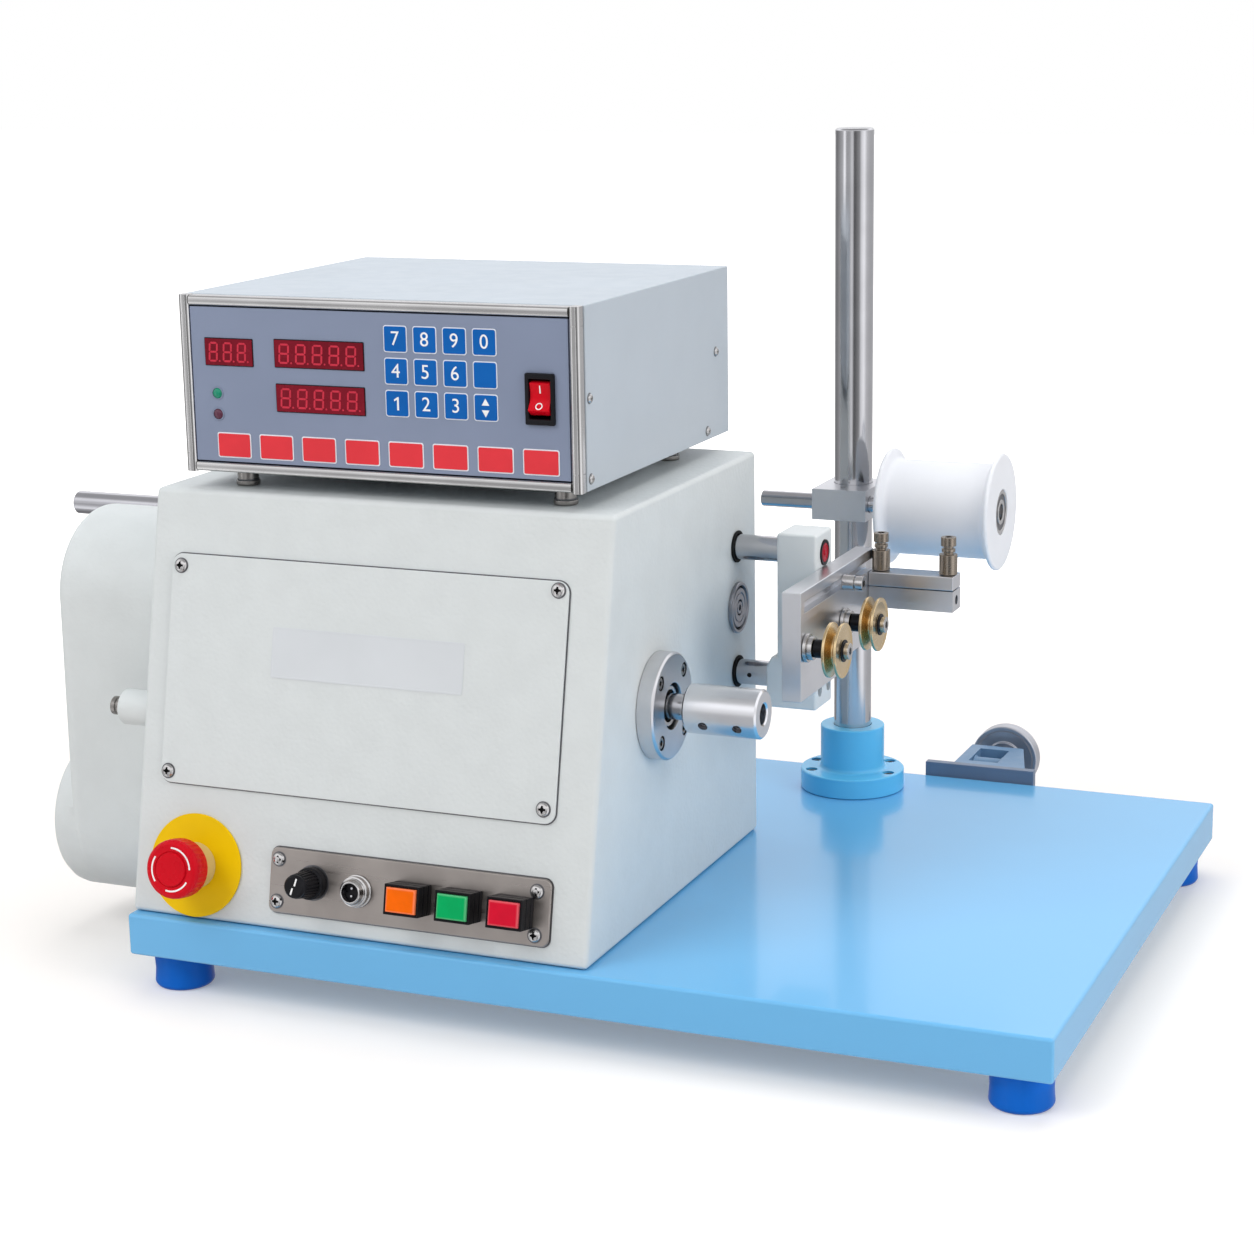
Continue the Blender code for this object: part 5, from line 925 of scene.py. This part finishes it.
# Name, place in metres, size in metres and power in watts
LAMPS = (("key", (-1.3, -1.9, 2.1), 1.8, 39.5), ("side", (2.3, -0.6, 1.15), 1.5, 24),
    ("top", (0.1, 0.5, 2.3), 2.0, 27))


def grey_ramp(tree, value, table):
    """Faintly blue grey over a value, from pairs of place and lightness."""
    ramp = add_node(tree, "ValToRGB", {0: value})
    stops = ramp.color_ramp.elements
    for stop, (where, grey) in zip(stops, (table[0], table[-1])):
        stop.position, stop.color = where, (grey, grey, grey * 1.03, 1)
    for where, grey in table[1:-1]:
        stops.new(where).color = (grey, grey, grey * 1.03, 1)
    return ramp.outputs[0]


def lay_floor():
    """Pale floor that fades to white away from the machine."""
    a = FLOOR_REACH
    mesh = bpy.data.meshes.new("floor")
    mesh.from_pydata([(-a, -a, 0), (a, -a, 0), (a, a, 0), (-a, a, 0)], [], [(0, 1, 2, 3)])
    floor = linked("floor", mesh)
    floor.visible_glossy = False
    pale = bpy.data.materials.new("floor_paper")
    pale.use_nodes = True
    tree = pale.node_tree
    away = vectors(tree, "LENGTH", add_node(tree, "TexCoord", {}).outputs["Object"])["Value"]
    fade = ranged(tree, away, 0.21, 1.0, 0.48, 1.1)
    glow = maths(tree, "MULTIPLY", add_node(tree, "LightPath", {}).outputs["Is Camera Ray"], fade)
    wire(tree, tree.nodes["Principled BSDF"], {"Base Color": (0.835, 0.8, 0.77, 1), "Roughness": 0.9,
        "Specular IOR Level": 0.0, "Emission Color": (1, 1, 1, 1), "Emission Strength": glow})
    mesh.materials.append(pale)


def light_world():
    """White to the camera, soft light for diffuse rays, and light and dark walls for reflections."""
    world = bpy.data.worlds.new("studio")
    bpy.context.scene.world = world
    world.use_nodes = True
    tree = world.node_tree
    tree.nodes.clear()
    rays = add_node(tree, "LightPath", {}).outputs
    soft = add_node(tree, "Background", {"Color": (0.97, 0.98, 1.0, 1), "Strength": 0.42}).outputs[0]
    white = add_node(tree, "Background", {"Color": (1, 1, 1, 1), "Strength": 1.0}).outputs[0]
    way = add_node(tree, "SeparateXYZ", {0: add_node(tree, "TexCoord", {}).outputs["Generated"]}).outputs
    share = ranged(tree, maths(tree, "ARCTAN2", way["Y"], way["X"]), 0, 1, -pi, pi, "LINEAR")
    walls = mixed(tree, ranged(tree, way["Z"], 0, 1, -0.03, 0.14), grey_ramp(tree, share, ROOM),
        grey_ramp(tree, way["Z"], SKY))
    room = add_node(tree, "Background", {"Color": walls, "Strength": 1.5}).outputs[0]
    seen = maths(tree, "MAXIMUM", rays["Is Camera Ray"], rays["Is Transmission Ray"])
    lit = add_node(tree, "MixShader", {0: rays["Is Glossy Ray"], 1: soft, 2: room}).outputs[0]
    add_node(tree, "OutputWorld", {0: add_node(tree, "MixShader", {0: seen, 1: lit, 2: white}).outputs[0]})


lay_floor()
light_world()
for name, place, size, power in LAMPS:
    lamp = bpy.data.lights.new(name, "AREA")
    lamp.size, lamp.energy = size, power
    holder = linked(name, lamp)
    holder.location = place
    holder.visible_glossy = False
    holder.rotation_euler = (LAMPS_AIM - Vector(place)).to_track_quat("-Z", "Y").to_euler()

# The camera's place and turn were solved from the corners of the base plate in the photo.
yaw, pitch, roll = radians(22.92), radians(13.36), radians(-0.94)
eye = Matrix.Translation(BASE @ Vector((844.1, -1240.4, 516.5)))
turn = Matrix.Rotation(yaw, 4, "Z") @ Matrix.Rotation(pi / 2 - pitch, 4, "X")
lens_data = bpy.data.cameras.new("camera")
lens_data.lens, lens_data.sensor_width = 76.3, 36
lens_data.clip_start, lens_data.clip_end = 0.05, 60
camera = linked("camera", lens_data)
camera.matrix_world = eye @ turn @ Matrix.Rotation(roll, 4, "Z")
bpy.context.scene.camera = camera
bpy.context.scene.view_settings.view_transform = "Standard"

# Material of each CAD node that stays
KEPT = {"drive_motor": dark_steel, "traverse_motor": dark_steel, "lead_screw": rod_steel,
    "nut_bracket": block_alloy, "spindle_pulley": block_alloy, "motor_pulley": block_alloy,
    "drive_belt": rubber}
DEFAULTS = {"polished_steel": chrome, "dark_steel": dark_steel, "satin_aluminium": plate_alloy,
    "black_rubber": rubber, "brass": brass, "nickel_bronze": bronze, "white_nylon": nylon,
    "sky_blue_paint": sky, "grey_hammer_paint": smooth_grey, "slate_blue_paint": slate}
for name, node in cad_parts.items():
    if node.hide_render:
        continue
    old = node.data.materials[0].name.split(".")[0] if node.data.materials else ""
    finish = KEPT.get(name) or DEFAULTS.get(old, chrome)
    for slot in node.material_slots:
        slot.material = finish
